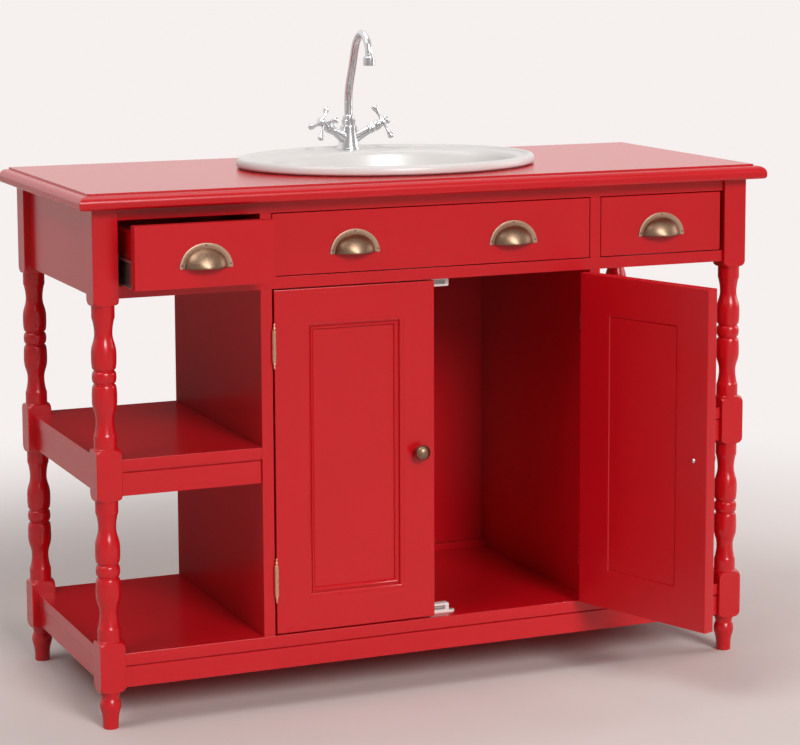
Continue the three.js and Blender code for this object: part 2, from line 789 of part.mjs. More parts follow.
for (const side of sides) {
  const drawer = new THREE.Group();
  drawer.position.y = side.sign < 0 ? -leftDrawerPull : 0;
  unit.add(drawer);

  const frontOuter = side.sign * (postInner - postSideGap);
  const frontInner = side.sign * (cabinetHalf + frontGap);
  piece(drawer, `drawer_front_${side.name}`,
    block(frontInner, frontOuter, faceRecess, fittingFaceRear,
      openingBottom + frontGap, openingTop - frontGap), redPaint);
  addPull(drawer, `cup_pull_${side.name}`, (frontOuter + frontInner) / 2);

  const boxBottom = openingBottom + drawerBoxLift;
  const boxTop = boxBottom + drawerBoxHeight;
  const half = drawerBoxWidth / 2;
  const box = block(-half, half, fittingFaceRear, fittingFaceRear + drawerBoxLength, boxBottom, boxTop);
  const room = block(drawerBoxWall - half, half - drawerBoxWall, fittingFaceRear + drawerBoxWall,
    fittingFaceRear + drawerBoxLength - drawerBoxWall, boxBottom + drawerBoxBottom, boxTop + cutOverrun);
  piece(drawer, `drawer_box_${side.name}`,
    cut(box, room).translate(side.sign * drawerCentre, 0, 0), redPaint);

  const walls = [
    { name: 'outer', x: side.sign * postInner, inward: -side.sign },
    { name: 'inner', x: side.sign * cabinetHalf, inward: side.sign },
  ];
  for (const wall of walls) {
    const fixed = runnerGeometry(channelOutline(0, runnerLip, runnerHeight / 2), wall.x, wall.inward);
    piece(carcass, `runner_fixed_${side.name}_${wall.name}`,
      fixed.translate(0, runnerFront, runnerMiddle), runnerSteel);
    const slideOutline = channelOutline(runnerSpace, runnerSpace - runnerLip, slideHalfHeight);
    const sliding = runnerGeometry(slideOutline, wall.x, wall.inward);
    piece(drawer, `runner_slide_${side.name}_${wall.name}`,
      sliding.translate(0, runnerFront, runnerMiddle), runnerSteel);
  }
}

// Doors: moulded frames with tongued panels, hung on finial butt hinges
const frameMember = 57.5;
const mouldingWidth = 9;
const mouldingDepth = 10;
const quirkWidth = 3;
const quirkDepth = 2;
const quirkStep = 1.5;
const grooveDepth = 7.5;
const grooveStart = 12.5;
const grooveWidth = 5.6;
const panelBackRecess = 0.6;
const barrelRadius = 3.8;
const barrelClear = 0.5;
const pinRadius = 2;
const leafThickness = 1.2;
const leafHeight = 50;
const leafDepth = 20;
const finialLength = 12;
const finialRadius = 2.6;
const finialNeckRadius = 1.3;
const hingeInset = 89;
const hingeSegments = 10;
const knobInset = 28;
const knobRadius = 12.5;
const knobLength = 27;
const knobNeckRadius = 5.5;
const knobRoseRadius = 8.5;
const knobRoseHeight = 2.5;
const knobShankRadius = 2.2;
const knobScrewRadius = 3.6;
const knobScrewHeight = 1.6;
const knobSegments = 12;

const doorLow = bottomBoardTop + doorBottomGap;
const doorHigh = railUnder - doorTopGap;
const doorHeight = doorHigh - doorLow;
const doorMiddle = (doorHigh + doorLow) / 2;
const doorWidth = cabinetInner - hingeGap - softGap - meetingGap / 2;
const pinX = cabinetInner - hingeGap / 2;
const pinY = faceRecess - barrelRadius - barrelClear;
const doorFace = barrelRadius + barrelClear;

function doorRing(inset, depth) {
  const halfWidth = doorWidth / 2 - inset;
  const halfHeight = doorHeight / 2 - inset;
  return [
    new THREE.Vector3(-halfWidth, depth, -halfHeight), new THREE.Vector3(halfWidth, depth, -halfHeight),
    new THREE.Vector3(halfWidth, depth, halfHeight), new THREE.Vector3(-halfWidth, depth, halfHeight),
  ];
}

const openingInset = frameMember + mouldingWidth;
const grooveInset = openingInset - grooveDepth;

function doorFrameGeometry(knobX) {
  const rings = [
    doorRing(0, 0),
    doorRing(0, doorThickness),
    doorRing(openingInset, doorThickness),
    doorRing(openingInset, grooveStart + grooveWidth),
    doorRing(grooveInset, grooveStart + grooveWidth),
    doorRing(grooveInset, grooveStart),
    doorRing(openingInset, grooveStart),
    doorRing(openingInset, mouldingDepth - quirkStep),
    doorRing(frameMember + quirkWidth, quirkDepth + quirkStep),
    doorRing(frameMember + quirkWidth, quirkDepth),
    doorRing(frameMember, 0),
  ];
  const hole = rod(knobShankRadius + softGap, -cutOverrun, doorThickness + cutOverrun, hingeSegments)
    .rotateX(-Math.PI / 2)
    .translate(knobX, 0, 0);
  return cut(loft(rings, true), hole);
}

function doorPanelGeometry() {
  const edge = openingInset + softGap;
  const tongue = grooveInset + softGap;
  return loft([
    doorRing(edge, mouldingDepth),
    doorRing(edge, grooveStart + softGap),
    doorRing(tongue, grooveStart + softGap),
    doorRing(tongue, grooveStart + grooveWidth - softGap),
    doorRing(edge, grooveStart + grooveWidth - softGap),
    doorRing(edge, doorThickness - panelBackRecess),
  ], false);
}

function knobGeometry() {
  const headShares = [[0.62, 0.5], [0.94, 0.62], [1, 0.75], [0.82, 0.9], [0.45, 0.98]];
  const head = headShares.map(([size, along]) => [knobRadius * size, knobLength * along]);
  const screwSeat = -doorThickness - softGap;
  return turned([
    [0, screwSeat - knobScrewHeight],
    [knobScrewRadius, screwSeat - knobScrewHeight],
    [knobScrewRadius, screwSeat],
    [knobShankRadius, screwSeat],
    [knobShankRadius, softGap],
    [knobRoseRadius, softGap],
    [knobRoseRadius, knobRoseHeight],
    [knobNeckRadius, 2 * knobRoseHeight],
    ...head,
    [0, knobLength],
  ], knobSegments).rotateX(Math.PI / 2);
}

// A finial's ball on its neck, as radius and height above the barrel's end
function finialProfile() {
  return [
    [barrelRadius, 0],
    [finialNeckRadius, finialRadius],
    [finialRadius, 2 * finialRadius],
    [finialRadius, finialLength - finialRadius],
    [finialNeckRadius, finialLength],
    [0, finialLength],
  ];
}

// The hinge's middle is at the origin, its pin along Z; inward is the way to the leaf's side
function hingeFixedGeometry(inward) {
  const half = leafHeight / 2;
  const below = finialProfile().reverse().map(([radius, height]) => [radius, -half - height]);
  const above = finialProfile().map(([radius, height]) => [radius, half + softGap + height]);
  const barrel = turned([
    ...below,
    [barrelRadius, -softGap / 2],
    [pinRadius, -softGap / 2],
    [pinRadius, half + softGap],
    ...above,
  ], hingeSegments);
  const outerX = -inward * (hingeGap / 2);
  const leaf = block(outerX, outerX + inward * leafThickness, doorFace, doorFace + leafDepth, -half, half);
  const strap = block(outerX, outerX + inward * leafThickness, pinRadius, doorFace, -half, -softGap / 2);
  return joined(barrel, leaf, strap);
}

function hingeLeafGeometry(inward) {
  const half = leafHeight / 2;
  const bore = pinRadius + softGap;
  const knuckle = turned([
    [bore, softGap / 2], [barrelRadius, softGap / 2], [barrelRadius, half], [bore, half], [bore, softGap / 2],
  ], hingeSegments);
  const outerX = inward * (hingeGap / 2);
  const leaf = block(outerX, outerX - inward * leafThickness, doorFace, doorFace + leafDepth, -half, half);
  const strap = block(outerX, outerX - inward * leafThickness, bore + softGap, doorFace, softGap / 2, half);
  return joined(knuckle, leaf, strap);
}

const hingeHeights = [
  { name: 'top', z: doorHigh - hingeInset },
  { name: 'bottom', z: doorLow + hingeInset },
];
for (const side of sides) {
  const inward = -side.sign;
  const door = new THREE.Group();
  door.position.set(side.sign * pinX, pinY, 0);
  door.rotation.z = side.sign < 0 ? 0 : rightDoorAngle;
  unit.add(door);

  const centreX = inward * (hingeGap / 2 + softGap + doorWidth / 2);
  const knobX = inward * (doorWidth / 2 - knobInset);
  const frame = piece(door, `door_frame_${side.name}`, doorFrameGeometry(knobX), redPaint);
  const panel = piece(door, `door_panel_${side.name}`, doorPanelGeometry(), redPaint);
  const knob = piece(door, `door_knob_${side.name}`, knobGeometry(), agedBrass);
  frame.position.set(centreX, doorFace, doorMiddle);
  panel.position.set(centreX, doorFace, doorMiddle);
  knob.position.set(centreX + knobX, doorFace, doorMiddle);

  for (const hinge of hingeHeights) {
    const fixed = piece(carcass, `hinge_fixed_${side.name}_${hinge.name}`,
      hingeFixedGeometry(inward), hingeBrass);
    fixed.position.set(side.sign * pinX, pinY, hinge.z);
    const leaf = piece(door, `hinge_leaf_${side.name}_${hinge.name}`,
      hingeLeafGeometry(inward), hingeBrass);
    leaf.position.z = hinge.z;
  }
}

// Magnetic catches: one on the cabinet floor and one under the drawer rail
const catchPlateLength = 92;
const catchPlateDepth = 16;
const catchPlateHeight = 3;
const catchBodyLength = 68;
const catchBodyDepth = 14;
const catchBodyHeight = 16;

function catchGeometry(up) {
  const base = block(-catchPlateLength / 2, catchPlateLength / 2, 0, catchPlateDepth,
    0, up * catchPlateHeight);
  const body = block(-catchBodyLength / 2, catchBodyLength / 2, 0, catchBodyDepth, 0, up * catchBodyHeight);
  return joined(base, body);
}
const catches = [
  { name: 'catch_bottom', z: bottomBoardTop, up: 1 },
  { name: 'catch_top', z: railUnder, up: -1 },
];
for (const item of catches) {
  const magnet = piece(carcass, item.name, catchGeometry(item.up), whitePlastic);
  magnet.position.set(0, faceRecess + doorThickness + catchGap, item.z);
}

// The origin is the middle of the space that the unit takes up as it stands
unit.updateMatrixWorld(true);
const space = new THREE.Box3().setFromObject(unit, true);
unit.position.y = -(space.min.y + space.max.y) / 2;

export default unit;
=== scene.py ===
# %% [markdown]
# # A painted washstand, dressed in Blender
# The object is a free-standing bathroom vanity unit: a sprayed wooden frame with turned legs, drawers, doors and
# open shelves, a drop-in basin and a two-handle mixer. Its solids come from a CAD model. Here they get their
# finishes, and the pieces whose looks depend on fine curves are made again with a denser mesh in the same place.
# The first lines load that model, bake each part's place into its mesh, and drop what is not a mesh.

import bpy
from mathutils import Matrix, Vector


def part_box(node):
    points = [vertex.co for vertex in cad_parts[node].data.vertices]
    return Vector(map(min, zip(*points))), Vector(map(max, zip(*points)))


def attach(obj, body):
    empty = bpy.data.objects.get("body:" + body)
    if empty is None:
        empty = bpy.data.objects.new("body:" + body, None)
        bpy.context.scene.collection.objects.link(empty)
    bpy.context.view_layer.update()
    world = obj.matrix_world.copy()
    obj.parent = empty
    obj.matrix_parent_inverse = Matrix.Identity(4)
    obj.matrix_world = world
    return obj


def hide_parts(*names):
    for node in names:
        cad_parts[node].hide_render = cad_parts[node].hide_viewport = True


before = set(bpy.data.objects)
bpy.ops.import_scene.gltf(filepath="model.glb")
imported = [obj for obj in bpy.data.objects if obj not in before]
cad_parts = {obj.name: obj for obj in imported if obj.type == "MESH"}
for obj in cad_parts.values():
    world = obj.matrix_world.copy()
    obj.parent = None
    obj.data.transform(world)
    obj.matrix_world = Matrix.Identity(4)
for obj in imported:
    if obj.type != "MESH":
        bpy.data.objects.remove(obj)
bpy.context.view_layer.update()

# %% Modules and units
import math

import bmesh
import bpy
from mathutils import Matrix, Vector
from mathutils.geometry import tessellate_polygon

MM = 0.001  # every size below is in millimetres, and Blender works in metres
SIDES = {"left": -1, "right": 1}
WHOLE_TURN = 2 * math.pi
print("one millimetre is", MM, "m")

# %% [markdown]
# ## Camera
# The picture was taken from the front left, a little above the worktop, with a long lens, so near and far pieces
# keep nearly the same size. The place and the lens come from fitting a pinhole camera to the object's edges. An
# exact match of the upright lines would need a large lens shift. That would push the object out of other views, so
# most of it is tilt here, and only a small shift is left.

# %% Camera
IMAGE_WIDTH = 800
SENSOR_WIDTH = 36
FOCAL_PIXELS = 2557.8
CAMERA_PLACE = (-1646.5, -3853.2, 1257.5)
CAMERA_TURN = (90 - 7.889, -0.19, -22.986)

camera_data = bpy.data.cameras.new("camera")
camera_data.sensor_width = SENSOR_WIDTH
camera_data.lens = FOCAL_PIXELS * SENSOR_WIDTH / IMAGE_WIDTH
camera_data.shift_x = -0.007
camera_data.shift_y = -0.12
camera = bpy.data.objects.new("camera", camera_data)
camera.location = Vector(CAMERA_PLACE) * MM
tilt, roll, turn = (math.radians(angle) for angle in CAMERA_TURN)
camera.rotation_euler = (
    Matrix.Rotation(turn, 3, "Z") @ Matrix.Rotation(tilt, 3, "X") @ Matrix.Rotation(roll, 3, "Z")
).to_euler()
bpy.context.scene.collection.objects.link(camera)
bpy.context.scene.camera = camera
bpy.context.scene.view_settings.view_transform = "Standard"
print("lens", round(camera_data.lens, 1), "mm")

# %% [markdown]
# ## Colours and nodes
# Paint charts and pictures give colours in sRGB, and a shader wants linear light, so one function turns a hex value
# into what a colour socket takes. A second one adds a node with its settings and links, so that each material below
# reads as a list of what it is made of.


# %% Two helpers for materials
def linear(hex_colour):
    """Turns an sRGB hex colour into linear red, green, blue and alpha."""
    parts = [int(hex_colour[i:i + 2], 16) / 255 for i in (0, 2, 4)]
    return [c / 12.92 if c <= 0.04045 else ((c + 0.055) / 1.055) ** 2.4 for c in parts] + [1.0]


def add_node(tree, kind, inputs=None, **settings):
    """Adds a node. Each input is a socket to link from, or a value. Settings are the node's own properties."""
    node = tree.nodes.new(kind)
    for name, value in settings.items():
        setattr(node, name, value)
    for name, value in (inputs or {}).items():
        if isinstance(value, bpy.types.NodeSocket):
            tree.links.new(value, node.inputs[name])
        else:
            node.inputs[name].default_value = value
    return node


def start_material(name, **values):
    """A new material and its surface shader, with the shader's plain values set."""
    material = bpy.data.materials.new(name)
    material.use_nodes = True
    surface = material.node_tree.nodes["Principled BSDF"]
    for socket, value in values.items():
        surface.inputs[socket.replace("_", " ")].default_value = value
    return material, material.node_tree, surface


def feed(tree, surface, **links):
    """Links sockets to the surface shader's inputs."""
    for socket, source in links.items():
        tree.links.new(source, surface.inputs[socket.replace("_", " ")])


print("white is", linear("FFFFFF"))

# %% [markdown]
# ## Room and floor
# The unit stands in a bright room with a white wall behind it. The world is that room. The camera sees it pale all
# round, and mirror-like surfaces see it pale towards the wall and dimmer behind the camera. It lights dull surfaces
# much less, so that the lamps shape the object. The floor is one large pale plane that carries the shadow. Further
# out it takes the room's colour, so no horizon shows, and in mirrors that far part is painted dimmer: painted shade
# on the foot of the wall.

# %% World
ROOM_PALE = linear("F6F0EF")
ROOM_DIM = linear("B0A7A4")
SHADED_WALL_FOOT = linear("D2C9C6")  # painted shade on the wall's foot, as mirror-like surfaces see it
AMBIENT = 0.07
MIRROR_BOOST = 0.12  # how much brighter than white the wall's upper part is in mirrors


def toward_wall(tree, along_y):
    """0 to 1 for how far a direction points to the wall, from the direction's own Y."""
    return add_node(tree, "ShaderNodeMapRange", {"Value": along_y, "From Min": -0.5, "From Max": 0.5},
                    interpolation_type="SMOOTHSTEP").outputs["Result"]


def room_colour(tree, along_y, wall=ROOM_PALE):
    """The room's colour in one direction: pale for the camera, and dimmer away from the wall for mirrors."""
    camera_ray = add_node(tree, "ShaderNodeLightPath").outputs["Is Camera Ray"]
    share = add_node(tree, "ShaderNodeMath", {0: toward_wall(tree, along_y), 1: camera_ray}, operation="MAXIMUM")
    return add_node(tree, "ShaderNodeMix", {0: share.outputs[0], 6: ROOM_DIM, 7: wall},
                    data_type="RGBA").outputs[2]


def seen_directly(tree):
    """1 for rays of the camera, of mirror-like surfaces and through glass, 0 for the light on dull surfaces."""
    ray = add_node(tree, "ShaderNodeLightPath").outputs
    seen = add_node(tree, "ShaderNodeMath", {0: ray["Is Camera Ray"], 1: ray["Is Glossy Ray"]}, operation="MAXIMUM")
    return add_node(tree, "ShaderNodeMath", {0: seen.outputs[0], 1: ray["Is Transmission Ray"]},
                    operation="MAXIMUM").outputs[0]


world = bpy.data.worlds.new("studio")
bpy.context.scene.world = world
world.use_nodes = True
tree = world.node_tree
tree.nodes.clear()
direction = add_node(tree, "ShaderNodeTexCoord")
axes = add_node(tree, "ShaderNodeSeparateXYZ", {"Vector": direction.outputs["Generated"]})
plain = add_node(tree, "ShaderNodeMapRange", {"Value": seen_directly(tree), "To Min": AMBIENT, "To Max": 1.0})
mirrored = add_node(tree, "ShaderNodeLightPath").outputs["Is Glossy Ray"]
level = add_node(tree, "ShaderNodeMath", {0: mirrored, 1: MIRROR_BOOST, 2: plain.outputs["Result"]},
                 operation="MULTIPLY_ADD")
shine = add_node(tree, "ShaderNodeBackground",
                 {"Color": room_colour(tree, axes.outputs["Y"]), "Strength": level.outputs[0]})
add_node(tree, "ShaderNodeOutputWorld", {"Surface": shine.outputs[0]})
print("world nodes", len(tree.nodes))

# %% Floor
FLOOR_HALF = 60000
CLOUDS_PER_METRE = 1.5
FLOOR_FADE = (0.85, 2.3)  # metres from the middle where the floor starts and ends turning into the room
MIRROR_FADE = (4.4, 5.6)  # the same for mirror-like surfaces, which show the real floor for longer

floor_paint, tree, surface = start_material("matt_floor_sheet", Roughness=0.9, Specular_IOR_Level=0.15)
place = add_node(tree, "ShaderNodeTexCoord").outputs["Object"]
cloud = add_node(tree, "ShaderNodeTexNoise", {"Vector": place, "Scale": CLOUDS_PER_METRE, "Detail": 3.0})
tone = add_node(tree, "ShaderNodeMix", {0: cloud.outputs["Fac"], 6: linear("D8CDC9"), 7: linear("E0D6D2")},
                data_type="RGBA")
feed(tree, surface, Base_Color=tone.outputs[2])
outward = add_node(tree, "ShaderNodeVectorMath", {0: place}, operation="NORMALIZE")
axes = add_node(tree, "ShaderNodeSeparateXYZ", {"Vector": outward.outputs[0]})
distance = add_node(tree, "ShaderNodeVectorMath", {0: place}, operation="LENGTH")
mirrored = add_node(tree, "ShaderNodeLightPath").outputs["Is Glossy Ray"]
edges = [add_node(tree, "ShaderNodeMix", {0: mirrored, 2: near, 3: mirror}, data_type="FLOAT").outputs[0]
         for near, mirror in zip(FLOOR_FADE, MIRROR_FADE)]
far = add_node(tree, "ShaderNodeMapRange",
               {"Value": distance.outputs["Value"], "From Min": edges[0], "From Max": edges[1]},
               interpolation_type="SMOOTHSTEP")
share = add_node(tree, "ShaderNodeMath", {0: far.outputs["Result"], 1: seen_directly(tree)}, operation="MULTIPLY")
# In mirrors the far floor shows the wall's foot in painted shade.
wall = add_node(tree, "ShaderNodeMix", {0: mirrored, 6: ROOM_PALE, 7: SHADED_WALL_FOOT}, data_type="RGBA")
room = add_node(tree, "ShaderNodeEmission", {"Color": room_colour(tree, axes.outputs["Y"], wall.outputs[2])})
blend = add_node(tree, "ShaderNodeMixShader",
                 {0: share.outputs[0], 1: surface.outputs["BSDF"], 2: room.outputs["Emission"]})
tree.links.new(blend.outputs[0], tree.nodes["Material Output"].inputs["Surface"])


def stage_sheet(name, corners, material):
    """A flat sheet that belongs to the studio and not to the unit."""
    mesh = bpy.data.meshes.new(name)
    mesh.from_pydata([Vector(corner) * MM for corner in corners], [], [(0, 1, 2, 3)])
    mesh.materials.append(material)
    sheet = bpy.data.objects.new(name, mesh)
    bpy.context.scene.collection.objects.link(sheet)
    return sheet


stage_sheet("floor", [(x * FLOOR_HALF, y * FLOOR_HALF, 0) for x, y in ((-1, -1), (1, -1), (1, 1), (-1, 1))],
            floor_paint)
print("floor", 2 * FLOOR_HALF * MM, "m wide")

# %% [markdown]
# ## Shade card
# The wall close behind the unit lies in the unit's own shade, and the satin shelves and cabinet sides mirror it.
# A real wall here would hide the back, so a dim card stands in its place that only mirror-like surfaces see, as a
# photographer sets a dark card beside the lens to deepen a reflection.

# %% Shade card
CARD_HALF, CARD_Y, CARD_TOP = 560, 378, 790

card_paint, tree, surface = start_material("shaded_wall_card")
place = add_node(tree, "ShaderNodeTexCoord").outputs["Object"]
height = add_node(tree, "ShaderNodeSeparateXYZ", {"Vector": place}).outputs["Z"]
rise = add_node(tree, "ShaderNodeMapRange", {"Value": height, "From Max": CARD_TOP * MM})
shade = add_node(tree, "ShaderNodeMix", {0: rise.outputs["Result"], 6: linear("35292A"), 7: linear("5E5452")},
                 data_type="RGBA")
glow = add_node(tree, "ShaderNodeEmission", {"Color": shade.outputs[2]})
tree.links.new(glow.outputs[0], tree.nodes["Material Output"].inputs["Surface"])
corners = [(x * CARD_HALF, CARD_Y, z) for x, z in ((-1, 1), (1, 1), (1, CARD_TOP), (-1, CARD_TOP))]
card = stage_sheet("shade_card", corners, card_paint)
card.visible_camera = card.visible_diffuse = card.visible_shadow = card.visible_transmission = False
print("card", card.dimensions)

# %% [markdown]
# ## Lamps
# Daylight comes through windows, so every lamp is wide and soft. Most of it falls from the front, 29 degrees up,
# which is read from the shadow that the worktop's overhang throws on the rail below it. A weaker sky at the left
# lights the left faces from too high up to reach into the bays. The ceiling lights the worktop, and grazes the
# fronts. A window close at the right lights the floor there, and a tall one in front gives the metal its highlights.


# %% Lamps
FAR = 9000
NEAR = 2300


def add_lamp(name, kind, azimuth, elevation, energy, distance=FAR):
    """A lamp that looks at the unit. Its angles are in degrees from straight in front."""
    data = bpy.data.lights.new(name, kind)
    data.energy = energy
    lamp = bpy.data.objects.new(name, data)
    az, el = math.radians(azimuth), math.radians(elevation)
    back = Vector((math.sin(az) * math.cos(el), -math.cos(az) * math.cos(el), math.sin(el)))
    lamp.location = back * distance * MM
    lamp.rotation_euler = back.to_track_quat("Z", "Y").to_euler()
    bpy.context.scene.collection.objects.link(lamp)
    return data


add_lamp("sky_in_front", "SUN", 6, 29, 2.0).angle = math.radians(22)
add_lamp("sky_at_left", "SUN", -74, 54, 0.88).angle = math.radians(30)
add_lamp("bright_ceiling", "SUN", 180, 82, 0.7).angle = math.radians(46)
add_lamp("window_at_right", "AREA", 86, 30, 8.5, NEAR).size = 1.0
tall_window = add_lamp("tall_window", "AREA", 2, 16, 38)
tall_window.shape = "ELLIPSE"
tall_window.size, tall_window.size_y = 2.0, 4.0

# %% [markdown]
# ## Satin paint, sprayed on wood
# The frame, drawers and doors are wood sprayed with a red satin lacquer. Satin means that a lamp shows as a broad
# soft glow, and at a flat angle the paint mirrors the pale room, which makes the worktop look pink. Spraying leaves
# a faint skin like orange peel, and tiny changes of tone where the coats overlap.

# %% Satin paint
PEEL_WIDTH = 5.0  # a real skin is 1 to 2 mm wide; it is drawn wider, or no pixel would show it
CLOUD_WIDTH = 160.0

paint, tree, surface = start_material("satin_lacquer_sprayed_on_wood", Roughness=0.23, IOR=1.5)
place = add_node(tree, "ShaderNodeTexCoord").outputs["Object"]
cloud = add_node(tree, "ShaderNodeTexNoise", {"Vector": place, "Scale": 1 / (CLOUD_WIDTH * MM), "Detail": 2.0})
tone = add_node(tree, "ShaderNodeMix", {0: cloud.outputs["Fac"], 6: linear("C20A15"), 7: linear("CA0F1B")},
                data_type="RGBA")
peel = add_node(tree, "ShaderNodeTexNoise", {"Vector": place, "Scale": 1 / (PEEL_WIDTH * MM), "Detail": 1.0})
gloss = add_node(tree, "ShaderNodeMapRange", {"Value": peel.outputs["Fac"], "To Min": 0.2, "To Max": 0.26})
skin = add_node(tree, "ShaderNodeBump", {"Height": peel.outputs["Fac"], "Strength": 0.12, "Distance": 0.2 * MM})
feed(tree, surface, Base_Color=tone.outputs[2], Roughness=gloss.outputs["Result"], Normal=skin.outputs["Normal"])
print(paint.name, "nodes", len(tree.nodes))

# %% [markdown]
# ## Vitreous china, glazed
# The basin is clay fired with a thick white glaze. The glaze is glass, so it is smooth and mirrors the lamps
# sharply, over a body that is white but never quite even.

# %% Vitreous china
CHINA_CLOUD = 70.0

china, tree, surface = start_material("vitreous_china_glazed", Roughness=0.28, IOR=1.5)
place = add_node(tree, "ShaderNodeTexCoord").outputs["Object"]
cloud = add_node(tree, "ShaderNodeTexNoise", {"Vector": place, "Scale": 1 / (CHINA_CLOUD * MM), "Detail": 2.0})
tone = add_node(tree, "ShaderNodeMix", {0: cloud.outputs["Fac"], 6: linear("DCD8D5"), 7: linear("E2DEDB")},
                data_type="RGBA")
wave = add_node(tree, "ShaderNodeBump", {"Height": cloud.outputs["Fac"], "Strength": 0.15, "Distance": 0.6 * MM})
feed(tree, surface, Base_Color=tone.outputs[2], Normal=wave.outputs["Normal"])
print(china.name, "nodes", len(tree.nodes))

# %% [markdown]
# ## Chrome plate on brass
# The mixer and the waste are cast and turned in brass, polished and plated with chrome. Plate is a mirror, slightly
# blue and darker than silver, and polishing leaves a faint haze in patches.

# %% Chrome plate
HAZE_WIDTH = 9.0

chrome, tree, surface = start_material("chrome_plate_polished", Base_Color=linear("DADCDF"), Metallic=1.0)
place = add_node(tree, "ShaderNodeTexCoord").outputs["Object"]
haze = add_node(tree, "ShaderNodeTexNoise", {"Vector": place, "Scale": 1 / (HAZE_WIDTH * MM), "Detail": 2.0})
gloss = add_node(tree, "ShaderNodeMapRange", {"Value": haze.outputs["Fac"], "To Min": 0.17, "To Max": 0.25})
feed(tree, surface, Roughness=gloss.outputs["Result"])
print(chrome.name, "nodes", len(tree.nodes))

# %% [markdown]
# ## Antiqued brass, cast
# The cup pulls and the knobs are cast brass, darkened in a bath and rubbed back by hand. The rubbed crown is lighter
# and shinier, and the dark skin stays where a cloth can't reach: in corners and in small pits. That darkening in
# corners is partly painted shade too, as on each dome where it meets its flange.

# %% Antiqued brass
GRAIN_WIDTH = 3.0
SHADE_AND_PATINA_REACH = 8.0  # how far from a corner the dark patina and painted shade thin out


def cast_brass(name, dull, bright):
    """Antiqued brass whose rubbed places lie between two colours, with patina and painted shade in its corners."""
    material, tree, surface = start_material(name, Metallic=1.0)
    place = add_node(tree, "ShaderNodeTexCoord").outputs["Object"]
    # Painted shade with the patina: occlusion darkens corners towards a dark brown.
    corner = add_node(tree, "ShaderNodeAmbientOcclusion", {"Distance": SHADE_AND_PATINA_REACH * MM}, samples=8)
    free_of_patina_and_shade = add_node(tree, "ShaderNodeMapRange", {"Value": corner.outputs["AO"], "From Min": 0.3, "From Max": 0.9})
    blotch = add_node(tree, "ShaderNodeTexNoise", {"Vector": place, "Scale": 1 / (GRAIN_WIDTH * MM), "Detail": 4.0})
    bare = add_node(tree, "ShaderNodeMix", {0: blotch.outputs["Fac"], 6: linear(dull), 7: linear(bright)},
                    data_type="RGBA")
    tone = add_node(tree, "ShaderNodeMix", {0: free_of_patina_and_shade.outputs["Result"], 6: linear("2E261B"), 7: bare.outputs[2]},
                    data_type="RGBA")
    gloss = add_node(tree, "ShaderNodeMapRange", {"Value": blotch.outputs["Fac"], "To Min": 0.32, "To Max": 0.46})
    pits = add_node(tree, "ShaderNodeBump", {"Height": blotch.outputs["Fac"], "Strength": 0.25, "Distance": 0.2 * MM})
    feed(tree, surface, Base_Color=tone.outputs[2], Roughness=gloss.outputs["Result"], Normal=pits.outputs["Normal"])
    return material


# The domes and knobs take a darker copy of the brass, partly painted shade, and the flanges a lighter copy, partly
# rubbed brighter and partly painted light.
antique = cast_brass("antiqued_brass_cast", "705A48", "A58870")
rubbed_and_lit_brass = cast_brass("antiqued_brass_rubbed_and_painted_lighter", "B8977E", "CFAD95")
print(antique.name, "and", rubbed_and_lit_brass.name)

# %% [markdown]
# ## Small metal and plastic finishes
# The hinges are brass, turned and lacquered, so they stay bright and warm. The drawer runners are rolled from
# zinc-plated steel, grey with a fine grain along the way it was rolled. The catches are moulded in white ABS round
# a bare steel pole. The pins of the pulls are brass, blackened in a bath. On each, a fine grain changes tone and
# gloss together, so one function makes them all.


# %% Small finishes
def grained_finish(name, grain_width, detail, dull, bright, gloss, stretch=(1.0, 1.0, 1.0), **values):
    """A finish whose colour and roughness follow the same grain, given by its width in millimetres."""
    material, tree, surface = start_material(name, **values)
    place = add_node(tree, "ShaderNodeTexCoord").outputs["Object"]
    along = add_node(tree, "ShaderNodeMapping", {"Vector": place, "Scale": stretch}).outputs[0]
    grain = add_node(tree, "ShaderNodeTexNoise",
                     {"Vector": along, "Scale": 1 / (grain_width * MM), "Detail": detail}).outputs["Fac"]
    tone = add_node(tree, "ShaderNodeMix", {0: grain, 6: linear(dull), 7: linear(bright)}, data_type="RGBA")
    rough = add_node(tree, "ShaderNodeMapRange", {"Value": grain, "To Min": gloss[0], "To Max": gloss[1]})
    feed(tree, surface, Base_Color=tone.outputs[2], Roughness=rough.outputs["Result"])
    return material


hinge_brass = grained_finish("brass_turned_and_lacquered", 2, 2.0, "D9A184", "E6B79B", (0.22, 0.34), Metallic=1.0)
steel = grained_finish("steel_rolled_zinc_plated", 0.8, 2.0, "A5A19E", "C6C2BF", (0.25, 0.45),
                       stretch=(1.0, 0.05, 1.0), Metallic=1.0)
plastic = grained_finish("abs_moulded_white", 0.8, 1.0, "ECE8E4", "F4F1ED", (0.3, 0.42), IOR=1.5)
blackened = grained_finish("brass_blackened_in_a_bath", 1.2, 2.0, "3A2A1C", "57412E", (0.35, 0.5), Metallic=1.0)
print("materials", [m.name for m in bpy.data.materials])

# %% [markdown]
# ## Boards, rails and panels
# These are flat timber, so the CAD solids already have their shape, and they keep it. What a plain box lacks is the
# eased edge: a joiner breaks every arris with sandpaper, and the thin round catches a line of light. A Bevel
# modifier adds that, after a Weld that joins the corners which the file format splits. The fronts are rounded a
# little more, so the joints round them show as soft lines. Last, Weighted Normal keeps the large faces flat in shade.

# %% Paint and ease the boards
EASED_EDGE = 0.6
FRONT_EDGE = 1.3
BEVEL_ANGLE = math.radians(35)
BOARDS = ["back_rail", "top_rail", "drawer_rail", "cabinet_back", "bottom_board", "false_front"]
for side in SIDES:
    BOARDS += [f"side_panel_{side}", f"cabinet_side_{side}", f"base_apron_{side}", f"mid_shelf_{side}",
               f"drawer_front_{side}", f"drawer_box_{side}", f"door_panel_{side}"]


